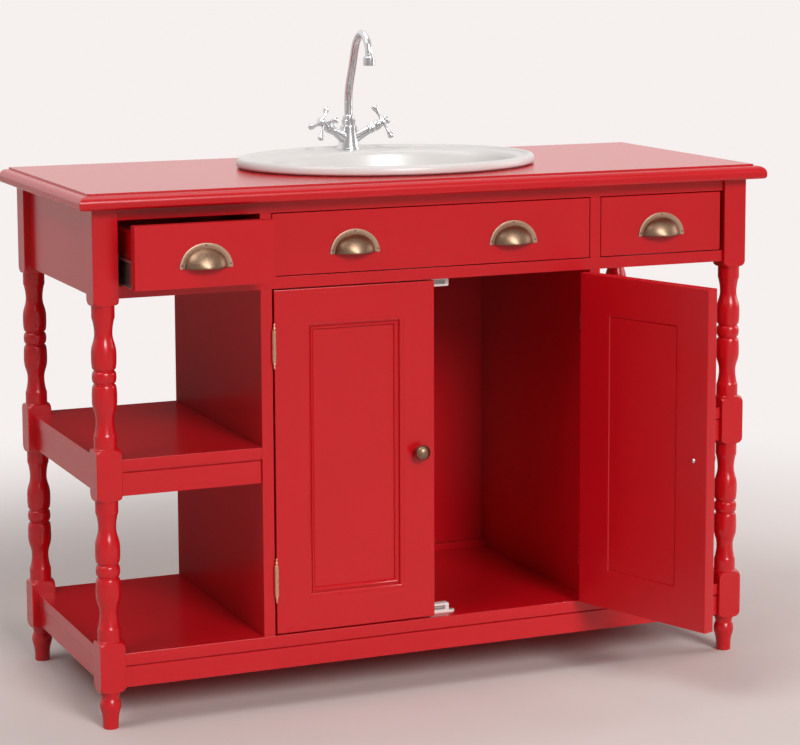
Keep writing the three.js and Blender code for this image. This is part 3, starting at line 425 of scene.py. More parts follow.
def finish_solid(name, material, edge=0.0):
    """Gives a CAD solid its material, and eases its edges where an edge is asked for."""
    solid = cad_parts[name]
    if not solid.material_slots:
        solid.data.materials.append(material)
    for slot in solid.material_slots:
        slot.material = material
    if edge:
        weld = solid.modifiers.new("weld", "WELD")
        weld.merge_threshold = 0.01 * MM
        bevel = solid.modifiers.new("eased_edges", "BEVEL")
        bevel.width = edge * MM
        bevel.segments = 2
        bevel.limit_method = "ANGLE"
        bevel.angle_limit = BEVEL_ANGLE
        solid.modifiers.new("flat_faces_shade_flat", "WEIGHTED_NORMAL").keep_sharp = True
    return solid


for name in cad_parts:
    finish_solid(name, paint)
for name in BOARDS:
    finish_solid(name, paint, FRONT_EDGE if "front" in name else EASED_EDGE)
print("boards", len(BOARDS))

# %% [markdown]
# ## Shapes made of rings
# Most of the other pieces were turned, moulded or bent, so each can be told as a row of rings. A ring is a list of
# points round the piece, and each ring is joined to the next by a band of faces. Modifiers could lathe or sweep a
# profile too, but rings keep every edge where a real cutter left it. A curve through a few measured points gives
# the rings between them.

# %% Helpers for shapes
WELD_DISTANCE = 0.002


def curve_through(stations, steps):
    """A smooth line through the stations, with this many steps between two of them (centripetal Catmull-Rom)."""
    points = [Vector(station) for station in stations]
    points = [2 * points[0] - points[1]] + points + [2 * points[-1] - points[-2]]
    line = []
    for a, b, c, d in zip(points, points[1:], points[2:], points[3:]):
        t1 = (b - a).length ** 0.5
        t2 = t1 + (c - b).length ** 0.5
        t3 = t2 + (d - c).length ** 0.5
        for step in range(steps):
            t = t1 + (t2 - t1) * step / steps
            ab, bc, cd = a.lerp(b, t / t1), b.lerp(c, (t - t1) / (t2 - t1)), c.lerp(d, (t - t2) / (t3 - t2))
            line.append(ab.lerp(bc, t / t2).lerp(bc.lerp(cd, (t - t1) / (t3 - t1)), (t - t1) / (t2 - t1)))
    return line + [points[-2]]


def oval(half_x, half_y, middle, steps):
    """A level ring round a middle point."""
    turns = [WHOLE_TURN * step / steps for step in range(steps)]
    return [Vector(middle) + Vector((half_x * math.cos(turn), half_y * math.sin(turn), 0)) for turn in turns]


def skin(rings, closes=False):
    """Joins rings into a surface: its points and its faces. Its ends are covered, or it closes on itself."""
    count = len(rings[0])
    points = [Vector(point) for ring in rings for point in ring]
    faces = []
    for band in range(len(rings) if closes else len(rings) - 1):
        near, far = band * count, (band + 1) % len(rings) * count
        faces += [(near + i, near + (i + 1) % count, far + (i + 1) % count, far + i) for i in range(count)]
    if not closes:
        last = len(points) - count
        faces += [tuple(reversed(range(count))), tuple(range(last, last + count))]
    return points, faces


def moved(shape, place):
    """The same shape, put where a matrix says."""
    points, faces = shape
    return [place @ point for point in points], faces


def turned(profile, steps, place=Matrix()):
    """A shape as a lathe makes it, from pairs of radius and height, and then put in its place."""
    return moved(skin([oval(radius, radius, (0, 0, height), steps) for radius, height in profile]), place)


def make_piece(name, shapes, material, body="frame", node=None, crease=40):
    """Makes one piece of shapes in millimetres. It rides on a body, and may stand for a CAD node."""
    points, faces = [], []
    for shape_points, shape_faces in shapes:
        faces += [tuple(len(points) + i for i in face) for face in shape_faces]
        points += [point * MM for point in shape_points]
    mesh = bpy.data.meshes.new(name)
    mesh.from_pydata(points, [], faces)
    editing = bmesh.new()
    editing.from_mesh(mesh)
    bmesh.ops.remove_doubles(editing, verts=editing.verts, dist=WELD_DISTANCE * MM)
    bmesh.ops.recalc_face_normals(editing, faces=editing.faces)
    editing.to_mesh(mesh)
    editing.free()
    mesh.polygons.foreach_set("use_smooth", [True] * len(mesh.polygons))
    mesh.set_sharp_from_angle(angle=math.radians(crease))
    mesh.materials.append(material)
    piece = bpy.data.objects.new(name, mesh)
    bpy.context.scene.collection.objects.link(piece)
    piece.modifiers.new("flat_faces_shade_flat", "WEIGHTED_NORMAL").keep_sharp = True
    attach(piece, body)
    if node:
        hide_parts(node)
    return piece


print("corners nearer than", WELD_DISTANCE, "mm are joined")

# %% [markdown]
# ## Front aprons
# The front aprons are planed boards glued under the shelves, a little behind the shelf's edge. Their arris is cut
# back along the top, and where a short one meets the cabinet, which leaves a quirk: a narrow groove that hides the
# glue line and shows as a fine dark line. Each board is a row of upright rectangles from front to back.

# %% Front aprons
QUIRK = (2.4, 3.5)  # how wide and how deep the groove is
QUIRK_ENDS = {"base_apron_front": (0, 0), "mid_apron_left": (0, 1), "mid_apron_right": (1, 0)}

for node, (at_left, at_right) in QUIRK_ENDS.items():
    low, high = (Vector(corner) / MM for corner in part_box(node))
    rings = []
    for y, inset, quirk in ((low.y, EASED_EDGE, QUIRK[0]), (low.y + EASED_EDGE, 0, QUIRK[0]),
                            (low.y + QUIRK[1], 0, QUIRK[0]), (low.y + QUIRK[1], 0, 0), (high.y, 0, 0)):
        left, right = low.x + inset + quirk * at_left, high.x - inset - quirk * at_right
        bottom, top = low.z + inset, high.z - inset - quirk
        rings.append([Vector((x, y, z)) for x, z in ((left, bottom), (right, bottom), (right, top), (left, top))])
    make_piece(f"quirked_{node}", [skin(rings)], paint, node=node, crease=30)
print("front aprons", len(QUIRK_ENDS))

# %% [markdown]
# ## Turned legs
# A leg starts as a square post and is turned between its square blocks. Where the lathe's cut runs out over a
# corner it leaves a round shoulder, and on each flat face that shoulder ends in an arch. So a ring of the leg takes
# the smaller of two radii, the square's and the lathe's, and one ring at each shoulder follows the arch exactly.

# %% Leg: the square post
LEG_HALF = 20.5
CORNER_ROUND = 1.3
SHOULDER_LENGTH = 11.5
SHOULDER_START = 20.2
FRAME_HALF = 574.0
FRAME_FRONT = -100.706  # the CAD's origin is the middle of the unit, so its front faces stand at this Y
FRAME_REAR = 353.294
LEG_TURNS = 72


def post_radius(turn):
    """The square post's radius in one direction, with its corners rounded."""
    across = abs((turn + math.pi / 4) % (math.pi / 2) - math.pi / 4)
    middle = LEG_HALF - CORNER_ROUND
    if math.tan(across) * LEG_HALF <= middle:
        return LEG_HALF / math.cos(across)
    along = middle * (math.cos(across) + math.sin(across))
    return along + math.sqrt(along ** 2 - 2 * middle ** 2 + CORNER_ROUND ** 2)


leg_turns = {WHOLE_TURN * step / LEG_TURNS for step in range(LEG_TURNS)}
for quarter in range(4):
    corner_turn = math.pi / 4 + quarter * math.pi / 2
    leg_turns |= {corner_turn + math.radians(offset) for offset in (-3.2, -1.88, -0.94, 0.94, 1.88, 3.2)}
leg_turns = sorted(leg_turns)
POST_REACH = max(post_radius(turn) for turn in leg_turns)


def leg_ring(radius, height):
    return [Vector((radius * math.cos(turn), radius * math.sin(turn), height)) for turn in leg_turns]


def shoulder(end, way):
    """Rings from the turned part at a block's end to the arches on its faces; way is 1 where the block is above."""
    rings = [leg_ring(SHOULDER_START, end)]
    for share in (0.25, 0.5, 0.7, 0.85, 0.95, 1.0):
        ring = []
        for turn in leg_turns:
            radius = SHOULDER_START + share * (post_radius(turn) - SHOULDER_START)
            out = min(1.0, (radius - SHOULDER_START) / (POST_REACH - SHOULDER_START))
            drop = SHOULDER_LENGTH * (1 - math.sqrt(1 - out * out))
            ring.append(Vector((radius * math.cos(turn), radius * math.sin(turn), end + way * drop)))
        rings.append(ring)
    return rings


print("post corner reaches", round(POST_REACH, 2), "mm")

# %% [markdown]
# The turned lengths mirror each other about a bead in their middle: a groove on each side of it, a swelling, a
# waist, and a plain end with a crisp step. The foot is a short tapered tip under a ball.

# %% Leg: the turned lengths
BLOCK_ENDS = (61, 141.8, 367.5, 449, 674.5)  # where the square blocks end, from the floor up
LEG_TOP = 825.5
bead = [(16.0 + 3.1 * math.sqrt(1 - (step / 8) ** 2), 9.6 * step / 8) for step in range(9)]
swelling = [(16.9 + 2.8 * math.sin(math.pi / 2 * step / 8) ** 0.8,
             12.2 + 17.8 * (1 - math.cos(math.pi / 2 * step / 8))) for step in range(9)]
waist = curve_through([(19.7, 36), (19.5, 41), (18.3, 48.5), (16.2, 55.5), (14.7, 61.5), (14.1, 68), (14.4, 75),
                       (15.4, 82.5), (16.9, 90)], 3)
SPINDLE = bead + [(16.0, 11.4)] + swelling + waist + [(17.6, 91), (18.0, 92.8), (18.1, 96)]
FOOT = [(0, 0), (11.6, 0), (12.4, 0.8), (12.6, 2.6)] + curve_through(
    [(12.7, 5), (12.9, 14), (14.2, 24), (16.2, 31), (17.2, 37), (16.4, 43.5), (14.6, 48.5)], 4) + [
    (14.2, 50.2), (14.2, 52), (15.2, 54.5), (15.4, 57), (14.8, 59.5), (14.8, 61)]


def spindle(low, high):
    """Rings of one turned length between two blocks, from the floor up."""
    middle = (low + high) / 2
    below = [(radius, middle - away) for radius, away in reversed(SPINDLE[1:])]
    above = [(radius, middle + away) for radius, away in SPINDLE]
    ends = [(18.1, low + 1.2), (18.9, low)], [(18.1, high - 1.2), (18.9, high)]
    profile = list(reversed(ends[0])) + below + above + ends[1]
    return [leg_ring(radius, height) for radius, height in profile]


low_end, low_top, mid_end, mid_top, high_end = BLOCK_ENDS
LEG_RINGS = [leg_ring(radius, height) for radius, height in FOOT]
LEG_RINGS += shoulder(low_end, 1) + shoulder(low_top, -1)[::-1] + spindle(low_top, mid_end)
LEG_RINGS += shoulder(mid_end, 1) + shoulder(mid_top, -1)[::-1] + spindle(mid_top, high_end)
LEG_RINGS += shoulder(high_end, 1) + [[Vector((p.x, p.y, LEG_TOP)) for p in shoulder(high_end, 1)[-1]]]
leg = skin(LEG_RINGS)
for side, sign in SIDES.items():
    for end, y in (("front", FRAME_FRONT + LEG_HALF), ("rear", FRAME_REAR - LEG_HALF)):
        place = Matrix.Translation((sign * (FRAME_HALF - LEG_HALF), y, 0))
        make_piece(f"turned_leg_{end}_{side}", [moved(leg, place)], paint,
                   node=f"leg_{end}_{side}", crease=32)
print("leg rings", len(LEG_RINGS), "of", len(leg_turns))

# %% [markdown]
# ## Worktop
# One board with a moulding run along the front and both ends by a router: a small round below, a quarter round above
# it, and a narrow step where the cutter's bearing stopped. The profile is told as pairs of inset and height, each
# ring follows it round the board, and the top and bottom are flat sheets with the basin's oval cut out of them.

# %% Worktop
TOP_HALF = 600
TOP_FRONT = FRAME_FRONT - 26
TOP_REAR = FRAME_REAR + 15
TOP_HEIGHT = 850
TOP_UNDER = 825.5
TOP_CORNER = 1.6
BASIN_X = 14
BASIN_Y = 142.294
CUTOUT = (246, 194)
OVAL_STEPS = 96

nose = [(6.5, 825.5)] + [(5 - 5 * math.sin(math.pi / 2 * step / 6), 830.5 - 5 * math.cos(math.pi / 2 * step / 6))
                         for step in range(7)]
ovolo = [(13 * (1 - math.cos(math.pi / 2 * step / 10)), 835 + 12 * math.sin(math.pi / 2 * step / 10))
         for step in range(11)]
TOP_PROFILE = nose + ovolo + [(17, 847), (17.4, 847.3), (17.5, 849.4), (17.7, 849.8), (18.1, 850), (19.1, 850)]


def worktop_ring(inset, height):
    """The board's outline at one inset: two square rear corners, and two front ones with a small round."""
    x, front = TOP_HALF - inset, TOP_FRONT + inset
    ring = [Vector((-x, TOP_REAR, height))]
    for sign in (-1, 1):
        for step in range(4):
            turn = math.pi / 2 * (step if sign < 0 else 3 - step) / 3
            ring.append(Vector((sign * (x - TOP_CORNER * (1 - math.cos(turn))),
                                front + TOP_CORNER * (1 - math.sin(turn)), height)))
    return ring + [Vector((x, TOP_REAR, height))]


def sheet_with_hole(outline, hole):
    """A flat face between an outline and a hole in it."""
    triangles = tessellate_polygon([outline, hole])
    return outline + hole, [tuple(triangle) for triangle in triangles]


top_rings = [worktop_ring(inset, height) for inset, height in TOP_PROFILE]
sides_of_board = skin(top_rings)
holes = [oval(*CUTOUT, (BASIN_X, BASIN_Y, height), OVAL_STEPS) for height in (TOP_UNDER, TOP_HEIGHT)]
board = [(sides_of_board[0], sides_of_board[1][:-2]), (skin(holes)[0], skin(holes)[1][:-2]),
         sheet_with_hole(top_rings[0], holes[0]), sheet_with_hole(top_rings[-1], holes[1])]
make_piece("worktop_board", board, paint, node="worktop", crease=30)
print("worktop profile points", len(TOP_PROFILE))

# %% [markdown]
# ## Doors
# Each door is a moulded frame round a flat panel. The moulding is a shallow slope, a sharp groove and a bead that
# rolls down over the panel's edge. It is too fine for the CAD solid, so the frame is made again from rings that run
# round the door, each a rectangle at its own inset and depth.

# %% Door frames
PIN_X = 279.5
PIN_Y = FRAME_FRONT + 2.3
DOOR_LOW, DOOR_HIGH = 123.8, 682.3
DOOR_WIDTH = 276.2
DOOR_SIDE_GAP = 1.8
DOOR_FACE = 4.3
DOOR_OPEN = {"left": 0, "right": 110}
DOOR_PROFILE = [(0, 1.3), (0.4, 0.4), (1.3, 0), (2.3, 0), (52.9, 0), (53.9, 0), (54.1, 0.5), (55.4, 0.75),
                (57.6, 1.45), (59.2, 2.2), (60.2, 2.8), (60.4, 6.6), (62.5, 6.6), (62.8, 5.0), (63.5, 4.4),
                (64.6, 4.6), (66.2, 5.6), (67.6, 7.0), (68.4, 8.3), (68.6, 9.9), (66.5, 9.9), (66.5, 12.5),
                (59, 12.5), (59, 18.1),
                (66.5, 18.1), (66.5, 19.6), (65.9, 20.5), (64.9, 21), (63.9, 21), (1.8, 21), (0.8, 21),
                (0.25, 20.75), (0, 20.2)]


def door_place(side):
    """From the door's own frame, with its hinge pin at the origin, to where it stands."""
    return Matrix.Translation((SIDES[side] * PIN_X, PIN_Y, 0)) @ Matrix.Rotation(
        math.radians(DOOR_OPEN[side]), 4, "Z")


def door_middle_x(side):
    return -SIDES[side] * (DOOR_SIDE_GAP + DOOR_WIDTH / 2)


for side in SIDES:
    rings = []
    for inset, depth in DOOR_PROFILE:
        half, low, high = DOOR_WIDTH / 2 - inset, DOOR_LOW + inset, DOOR_HIGH - inset
        rings.append([Vector((door_middle_x(side) + x, DOOR_FACE + depth, z))
                      for x, z in ((-half, low), (half, low), (half, high), (-half, high))])
    make_piece(f"moulded_frame_{side}", [moved(skin(rings, closes=True), door_place(side))], paint,
               body=f"door_{side}", node=f"door_frame_{side}", crease=30)
print("door moulding points", len(DOOR_PROFILE))

# %% [markdown]
# ## Basin
# A drop-in basin of vitreous china. The clay is cast in a mould, so every edge is a soft roll: the outer rim, the
# step down to the flat deck behind the bowl, and the lip. Each ring here is an oval with its own two half widths,
# and a curve through the stations gives the rings between. The bowl lies further forward than the rim, which
# leaves room for the tap.

# %% Basin
BOWL_Y = 114.294
BOWL_FLOOR = 713
FOOT_OF_RIM = [(244, 192, 850), (249, 197, 850), (249.4, 197.4, 851.7), (255.6, 203.6, 851.9)]
RIM = [(257.6, 205.6, 852.3), (259.3, 207.3, 854.2), (259.8, 207.8, 857), (259.2, 207.2, 861.4),
       (256.8, 204.8, 865.4), (252, 200, 867), (247.6, 195.6, 866.1), (244, 192, 864.2), (240.4, 188.4, 863.15),
       (236.5, 184.5, 863)]
BOWL = [(223.6, 155.4, 863), (219.4, 152.4, 862.4), (215, 149, 859.8), (210.8, 146.2, 855), (201, 139.5, 833),
        (181.4, 126, 794), (142.6, 99, 752), (90.7, 63, 723.5), (44, 40, 713.8), (24, 24, 713.05)]
UNDERSIDE = [(22, 22, 713), (22, 22, 705), (44, 44, 705), (98.7, 71, 715.5), (150.6, 107, 744), (189.4, 134, 786),
             (209, 147.5, 825), (216, 150, 850)]
rings = [oval(half_x, half_y, (BASIN_X, BASIN_Y, height), OVAL_STEPS)
         for half_x, half_y, height in FOOT_OF_RIM + curve_through(RIM, 3)]
rings += [oval(half_x, half_y, (BASIN_X, BOWL_Y, height), OVAL_STEPS)
          for half_x, half_y, height in curve_through(BOWL, 3) + UNDERSIDE]
make_piece("china_basin", [skin(rings, closes=True)], china, node="basin", crease=50)
print("basin rings", len(rings))

# %% [markdown]
# ## Waste
# A turned brass flange sits in the bowl's lowest ring, with a strainer across its bore. Below the bowl a nut on the
# threaded tail clamps it. The strainer is a real sheet with holes, so it is dark where a real one is dark.

# %% Waste
FLANGE = [(17, -68), (17, -2), (17.5, -0.4), (18.6, 1.3), (20.2, 2.2), (28, 2.5), (30.2, 2.1), (31, 1.1), (31, 0),
          (20, 0), (20, -67.2), (19.2, -68)]
THREAD_PITCH = 2.4
HOLE_RADIUS, HOLE_CIRCLE, MIDDLE_HOLE = 2.4, 9.8, 3.4
waste_place = Matrix.Translation((BASIN_X, BOWL_Y, BOWL_FLOOR))
rings = [[waste_place @ point for point in oval(radius, radius, (0, 0, height), 48)] for radius, height in FLANGE]
nut = turned([(19, -18.3), (30, -18.3), (31, -17.3), (31, -9.3), (30, -8.3), (19, -8.3)], 6, waste_place)
thread = [(radius, -20 - THREAD_PITCH * (turn + share)) for turn in range(18)
          for radius, share in ((19.6, 0), (20.3, 0.4), (20.3, 0.6))]
tail = turned([(0, -19.5)] + thread + [(0, -64)], 40, waste_place)
hole_places = oval(HOLE_CIRCLE, HOLE_CIRCLE, (0, 0, 0), 6)
strainer_holes = [oval(HOLE_RADIUS, HOLE_RADIUS, place, 12) for place in hole_places]
strainer_holes.append(oval(MIDDLE_HOLE, MIDDLE_HOLE, (0, 0, 0), 12))


def pierced_sheet(outline, holes, low, high):
    """A flat sheet between two heights, with its outline and its holes given as level rings at height 0."""
    shapes = []
    for height in (low, high):
        lift = Vector((0, 0, height))
        loops = [[point + lift for point in loop] for loop in [outline] + holes]
        shapes.append(([point for loop in loops for point in loop],
                       [tuple(triangle) for triangle in tessellate_polygon(loops)]))
    for loop in [outline] + holes:
        walls = skin([[point + Vector((0, 0, height)) for point in loop] for height in (low, high)])
        shapes.append((walls[0], walls[1][:-2]))
    return shapes


strainer = pierced_sheet(oval(17.2, 17.2, (0, 0, 0), 48), strainer_holes, -4, -2.4)
waste_shapes = [moved(shape, waste_place) for shape in strainer] + [skin(rings, closes=True), nut, tail]
make_piece("basin_strainer", waste_shapes, chrome, node="basin_waste")
print("strainer holes", len(strainer_holes))

# %% [markdown]
# ## Mixer
# A two-handle mixer in one casting: a bell-shaped body with an arm to each side, a hexagonal bonnet on each arm and a
# swan-neck spout in the middle. Everything round was turned, so it is made of turned profiles, each put in its own
# place. The spout is a tube swept along a curve, a little thinner towards its mouth.

# %% Mixer body
TAP_PLACE = Vector((12, 310.294, 863))
ARM_WAY = Vector((55, -21.5, 34))
ARM_ROOT = 14
ARM_LENGTH = 54
BELL = [(0, -13), (20.8, -0.01), (20.8, 0), (20.8, 2), (20.3, 2.8), (19.4, 3.2), (19.1, 4.2)] + curve_through(
    [(18.9, 5.5), (17.6, 13), (16.3, 22), (15.2, 31), (14.6, 39)], 4) + [
    (14.6, 40.6), (14.1, 41.6), (12.6, 42), (11.8, 42.6), (11.7, 44), (11.7, 49.4), (12.3, 49.8), (12.4, 51.2),
    (11.8, 52), (0, 52)]
BELOW = [(0, -42), (15.4, -42), (16, -41.2), (16, -13.3), (0, -13.3)]
ARM = [(0, 2), (10.6, 4)] + curve_through([(10.4, 9), (9.5, 17), (8.3, 27), (7.4, 37), (7.2, 41)], 3) + [
    (8.0, 41.6), (8.6, 42.6), (8.6, 44.4), (8.0, 45.4), (7.4, 46), (7.4, 48), (0, 48)]
BONNET = [(0, 47), (9.3, 47), (10, 47.7), (10, 53.2), (9.3, 54), (0, 54)]
SPINDLE_PIN = [(0, 50), (3, 50), (3, 61), (0, 61)]


def arm_place(side):
    """From a frame whose Z runs out along the arm to where the arm stands."""
    outward = Vector((SIDES[side] * ARM_WAY.x, ARM_WAY.y, ARM_WAY.z)).normalized()
    level = Vector((0, 0, 1)).cross(outward).normalized()
    basis = Matrix((level, outward.cross(level), outward)).transposed().to_4x4()
    return Matrix.Translation(TAP_PLACE + Vector((0, 0, ARM_ROOT))) @ basis


tap_place = Matrix.Translation(TAP_PLACE)
body_shapes = [turned(BELL, 48, tap_place), turned(BELOW, 40, tap_place),
               turned([(0, -21.3), (23.4, -21.3), (24, -20.6), (24, -14), (23.4, -13.3), (0, -13.3)], 6, tap_place)]
for side in SIDES:
    body_shapes += [turned(ARM, 32, arm_place(side)), turned(BONNET, 6, arm_place(side)),
                    turned(SPINDLE_PIN, 20, arm_place(side))]
make_piece("mixer_body", body_shapes, chrome, node="tap_body")
print("shapes in the mixer's body", len(body_shapes))

# %% Swan-neck spout
SPOUT_REACH = 97
SPOUT_RISE = 205
SPOUT_START = 52.3
TUBE_RADII = (7.2, 6.3)
ROUTE = [(0, 0.43), (0.03, 0.52), (0.19, 0.7), (0.42, 0.935), (0.66, 1), (0.9, 0.945), (0.99, 0.86), (1, 0.8)]
stations = [(0, 0, SPOUT_START)] + [(0, -reach * SPOUT_REACH, rise * SPOUT_RISE) for reach, rise in ROUTE]
route = curve_through(stations, 8)
rings = []
for index, point in enumerate(route):
    onward = (route[min(index + 1, len(route) - 1)] - route[max(index - 1, 0)]).normalized()
    up = Vector((1, 0, 0)).cross(onward)
    radius = TUBE_RADII[0] + (TUBE_RADII[1] - TUBE_RADII[0]) * index / (len(route) - 1)
    rings.append([TAP_PLACE + point + Vector((1, 0, 0)) * (radius * math.cos(turn)) + up * (radius * math.sin(turn))
                  for turn in (WHOLE_TURN * step / 28 for step in range(28))])
mouth_place = Matrix.Translation(TAP_PLACE + route[-1])
collar = turned([(0, 52.3), (10.3, 52.3), (10.3, 58.2), (9.6, 59.6), (8.2, 60.3), (0, 60.3)], 40, tap_place)
aerator = turned([(0, -9.8), (8.4, -9.8), (8.4, -12.4), (8.8, -12.8), (9.5, -12.8), (10, -12.2), (10, 0.5),
                  (9.7, 1.5), (8.9, 2.2), (7.6, 2.6), (7.2, 3.4), (7.2, 6.6), (6.6, 7.2), (0, 7.2)], 40, mouth_place)
make_piece("swan_neck_spout", [skin(rings), collar, aerator], chrome, body="spout", node="tap_spout")
screen = turned([(0, -10.9), (8.3, -10.9), (8.3, -9.8), (0, -9.8)], 32, mouth_place)
make_piece("aerator_screen", [screen], steel, body="spout")
print("spout rings", len(rings))

# %% [markdown]
# The handles are crosses of four spokes that swell to a rounded tip, on a hub with a domed cap. The two crosses
# stand a few degrees apart, as real ones do once the valves are shut.

# %% Cross handles
HUB = [(3.3, 7.3), (3.3, 0.3), (8.6, 0.3), (9, 0.9), (9, 5.6), (8.2, 7.2), (7, 9), (6.5, 11), (6.5, 19), (7.2, 20.2),
       (8.3, 21), (8.5, 22), (8.5, 23.4), (7.9, 24.8), (6.2, 26.2), (3.6, 27), (0, 27.2), (0, 7.3)]
SPOKE = [(0, 3), (2.9, 4), (2.5, 9), (2.4, 13), (2.7, 17), (3.5, 21), (4.7, 24.6), (5.4, 27.2), (5.5, 28.8),
         (5.0, 31), (3.7, 32.4), (1.8, 33), (0, 33)]
SPOKE_HEIGHT = 15
CROSS_TURNS = {"left": 16, "right": 0}
spoke_line = SPOKE[:1] + curve_through(SPOKE[1:-1], 2) + SPOKE[-1:]
for side in SIDES:
    crown = arm_place(side) @ Matrix.Translation((0, 0, ARM_LENGTH)) @ Matrix.Rotation(
        math.radians(CROSS_TURNS[side]), 4, "Z")
    cross = [turned(HUB, 32, crown)]
    for quarter in range(4):
        spoke_place = crown @ Matrix.Rotation(quarter * math.pi / 2, 4, "Z") @ Matrix.Translation(
            (0, 0, SPOKE_HEIGHT)) @ Matrix.Rotation(math.pi / 2, 4, "Y")
        cross.append(turned(spoke_line, 20, spoke_place))
    make_piece(f"cross_handle_{side}", cross, chrome, body=f"valve_{side}", node=f"tap_handle_{side}")

# %% [markdown]
# ## Cup pulls and knobs
# A cup pull is cast as a half dome, open below for the fingers, on a flat arched flange with a soft outer edge. Three
# pins hold it. The dome is a skin of even thickness with a rolled lip, so both its faces are made: each row runs
# over the outside, round the lip and back inside. The knob is turned, with a mushroom head on a slim neck.

# %% Cup pulls
DOME = (35, 22, 30.4)
DOME_TURN = (math.radians(14), math.radians(64))  # from its sloped start to just short of upright
DOME_WALL = 2
LIP = 0.8
ARCH_STEPS = 40
FLANGE_STEPS = [(43, 39, 0), (43, 39, 1.1), (42.7, 38.7, 1.7), (42.1, 38.1, 2), (39.6, 35.6, 2), (38.4, 34.4, 1.8),
                (36.6, 32.4, 1.3), (35.6, 31.4, 0.9)]
DRAWER_PULL = {"left": 75, "right": 0}  # how far each drawer is drawn out
PULL_FACE = FRAME_FRONT + 6.6
PULLS = {"cup_pull_left": (-414.5, PULL_FACE - DRAWER_PULL["left"], "drawer_left"),
         "cup_pull_right": (414.5, PULL_FACE - DRAWER_PULL["right"], "drawer_right"),
         "cup_pull_centre_left": (-139.75, PULL_FACE, "frame"), "cup_pull_centre_right": (139.75, PULL_FACE, "frame")}
PULL_HEIGHT = 735
PINS = ((0, 35.8), (-39.3, 5.5), (39.3, 5.5))

arch_turns = [math.pi * step / ARCH_STEPS for step in range(ARCH_STEPS + 1)]
flange_rings = [[Vector((half * math.cos(turn), -depth, height * math.sin(turn))) for turn in arch_turns]
                for half, height, depth in FLANGE_STEPS]
dome_rows = []
for step in range(15):
    start, end = DOME_TURN
    rise = start + (end - start) * step / 14
    closing = (math.cos(rise) - math.cos(end)) / (math.cos(start) - math.cos(end))
    outward = (math.sin(rise) - math.sin(start)) / (math.sin(end) - math.sin(start))
    rows = []
    for half, out, height in (DOME, tuple(size - DOME_WALL for size in DOME)):
        rows.append([Vector((half * closing ** 0.8 * math.cos(turn), -out * outward,
                             LIP + height * closing * math.sin(turn))) for turn in arch_turns])
    outer, inner = rows[0], rows[1][::-1]
    lips = [[start.lerp(end, share) - Vector((0, 0, LIP * math.sin(math.pi * share))) for share in (0.15, 0.5, 0.85)]
            for start, end in ((outer[-1], inner[0]), (inner[-1], outer[0]))]
    dome_rows.append(outer + lips[0] + inner + lips[1])
flange_shape, dome_shape = skin(flange_rings), skin(dome_rows)
pin_shape = turned([(0, 0), (1.2, 0), (1.2, 0.3), (0.8, 0.6), (0, 0.7)], 14, Matrix.Rotation(math.pi / 2, 4, "X"))
for node, (x, y, body) in PULLS.items():
    place = Matrix.Translation((x, y, PULL_HEIGHT))
    make_piece(f"cast_{node}", [moved(dome_shape, place)], antique, body=body, node=node, crease=50)
    # The flange takes the lighter copy of the brass, which is partly painted light.
    make_piece(f"flange_of_{node}", [moved(flange_shape, place)], rubbed_and_lit_brass, body=body, crease=50)
    pins = [moved(pin_shape, place @ Matrix.Translation((along, -2, height))) for along, height in PINS]
    make_piece(f"pins_of_{node}", pins, blackened, body=body)
print("cup pulls", len(PULLS))

# %% Door knobs
KNOB_INSET = 28
KNOB = [(0, 25.6)] + curve_through(
    [(2, 25.55), (5.6, 24.9), (9.2, 22.9), (11.9, 19.9), (12.9, 16.6), (12.4, 13.9), (10.6, 11.7), (8.2, 10.2),
     (6.4, 8.4), (5.8, 6.4), (6.2, 4.8), (7, 3.6)], 3) + [
    (7.4, 3.1), (7.6, 2.5), (7.6, 0.3), (2.2, 0.3), (2.2, -21), (0, -21)]
SCREW_HEAD = [(0, -21), (3.9, -21.1), (3.8, -21.7), (3.2, -22.4), (2.1, -22.9), (0, -23.1)]
for side in SIDES:
    middle = door_middle_x(side) - SIDES[side] * (DOOR_WIDTH / 2 - KNOB_INSET)
    knob_place = door_place(side) @ Matrix.Translation(
        (middle, DOOR_FACE, (DOOR_LOW + DOOR_HIGH) / 2)) @ Matrix.Rotation(math.pi / 2, 4, "X")
    make_piece(f"turned_knob_{side}", [turned(KNOB, 48, knob_place)], antique, body=f"door_{side}",
               node=f"door_knob_{side}", crease=50)
    make_piece(f"screw_of_knob_{side}", [turned(SCREW_HEAD, 32, knob_place)], chrome,
               body=f"door_{side}", crease=60)
print("knob profile points", len(KNOB))

# %% [markdown]
# ## Hinges
# Butt hinges with finials: a leaf on the cabinet side, a leaf on the door's edge, and a knuckle of each round one
# pin. The lower knuckle belongs to the cabinet's leaf, the upper one to the door's, and a ball finial closes each
# end of the pin. Screw heads stand in the leaves.

# %% Hinges
KNUCKLE = 3.8
LEAF_THICK, LEAF_WIDE, LEAF_HALF = 1.2, 20, 25
HINGE_GAP = 3
PLAY = 0.15  # half the gap between the two knuckles
HINGE_HEIGHTS = {"top": 593.3, "bottom": 212.8}
FINIAL = [(3.8, 0), (3.6, 0.4), (2.5, 0.9), (1.9, 1.5), (2.3, 2.3), (2.6, 3.4), (2.4, 4.6), (1.7, 5.6), (1.3, 6.5),
          (1.3, 7.3), (1.7, 8.4), (1.8, 9.4), (1.4, 10.8), (0.6, 11.7), (0, 12)]


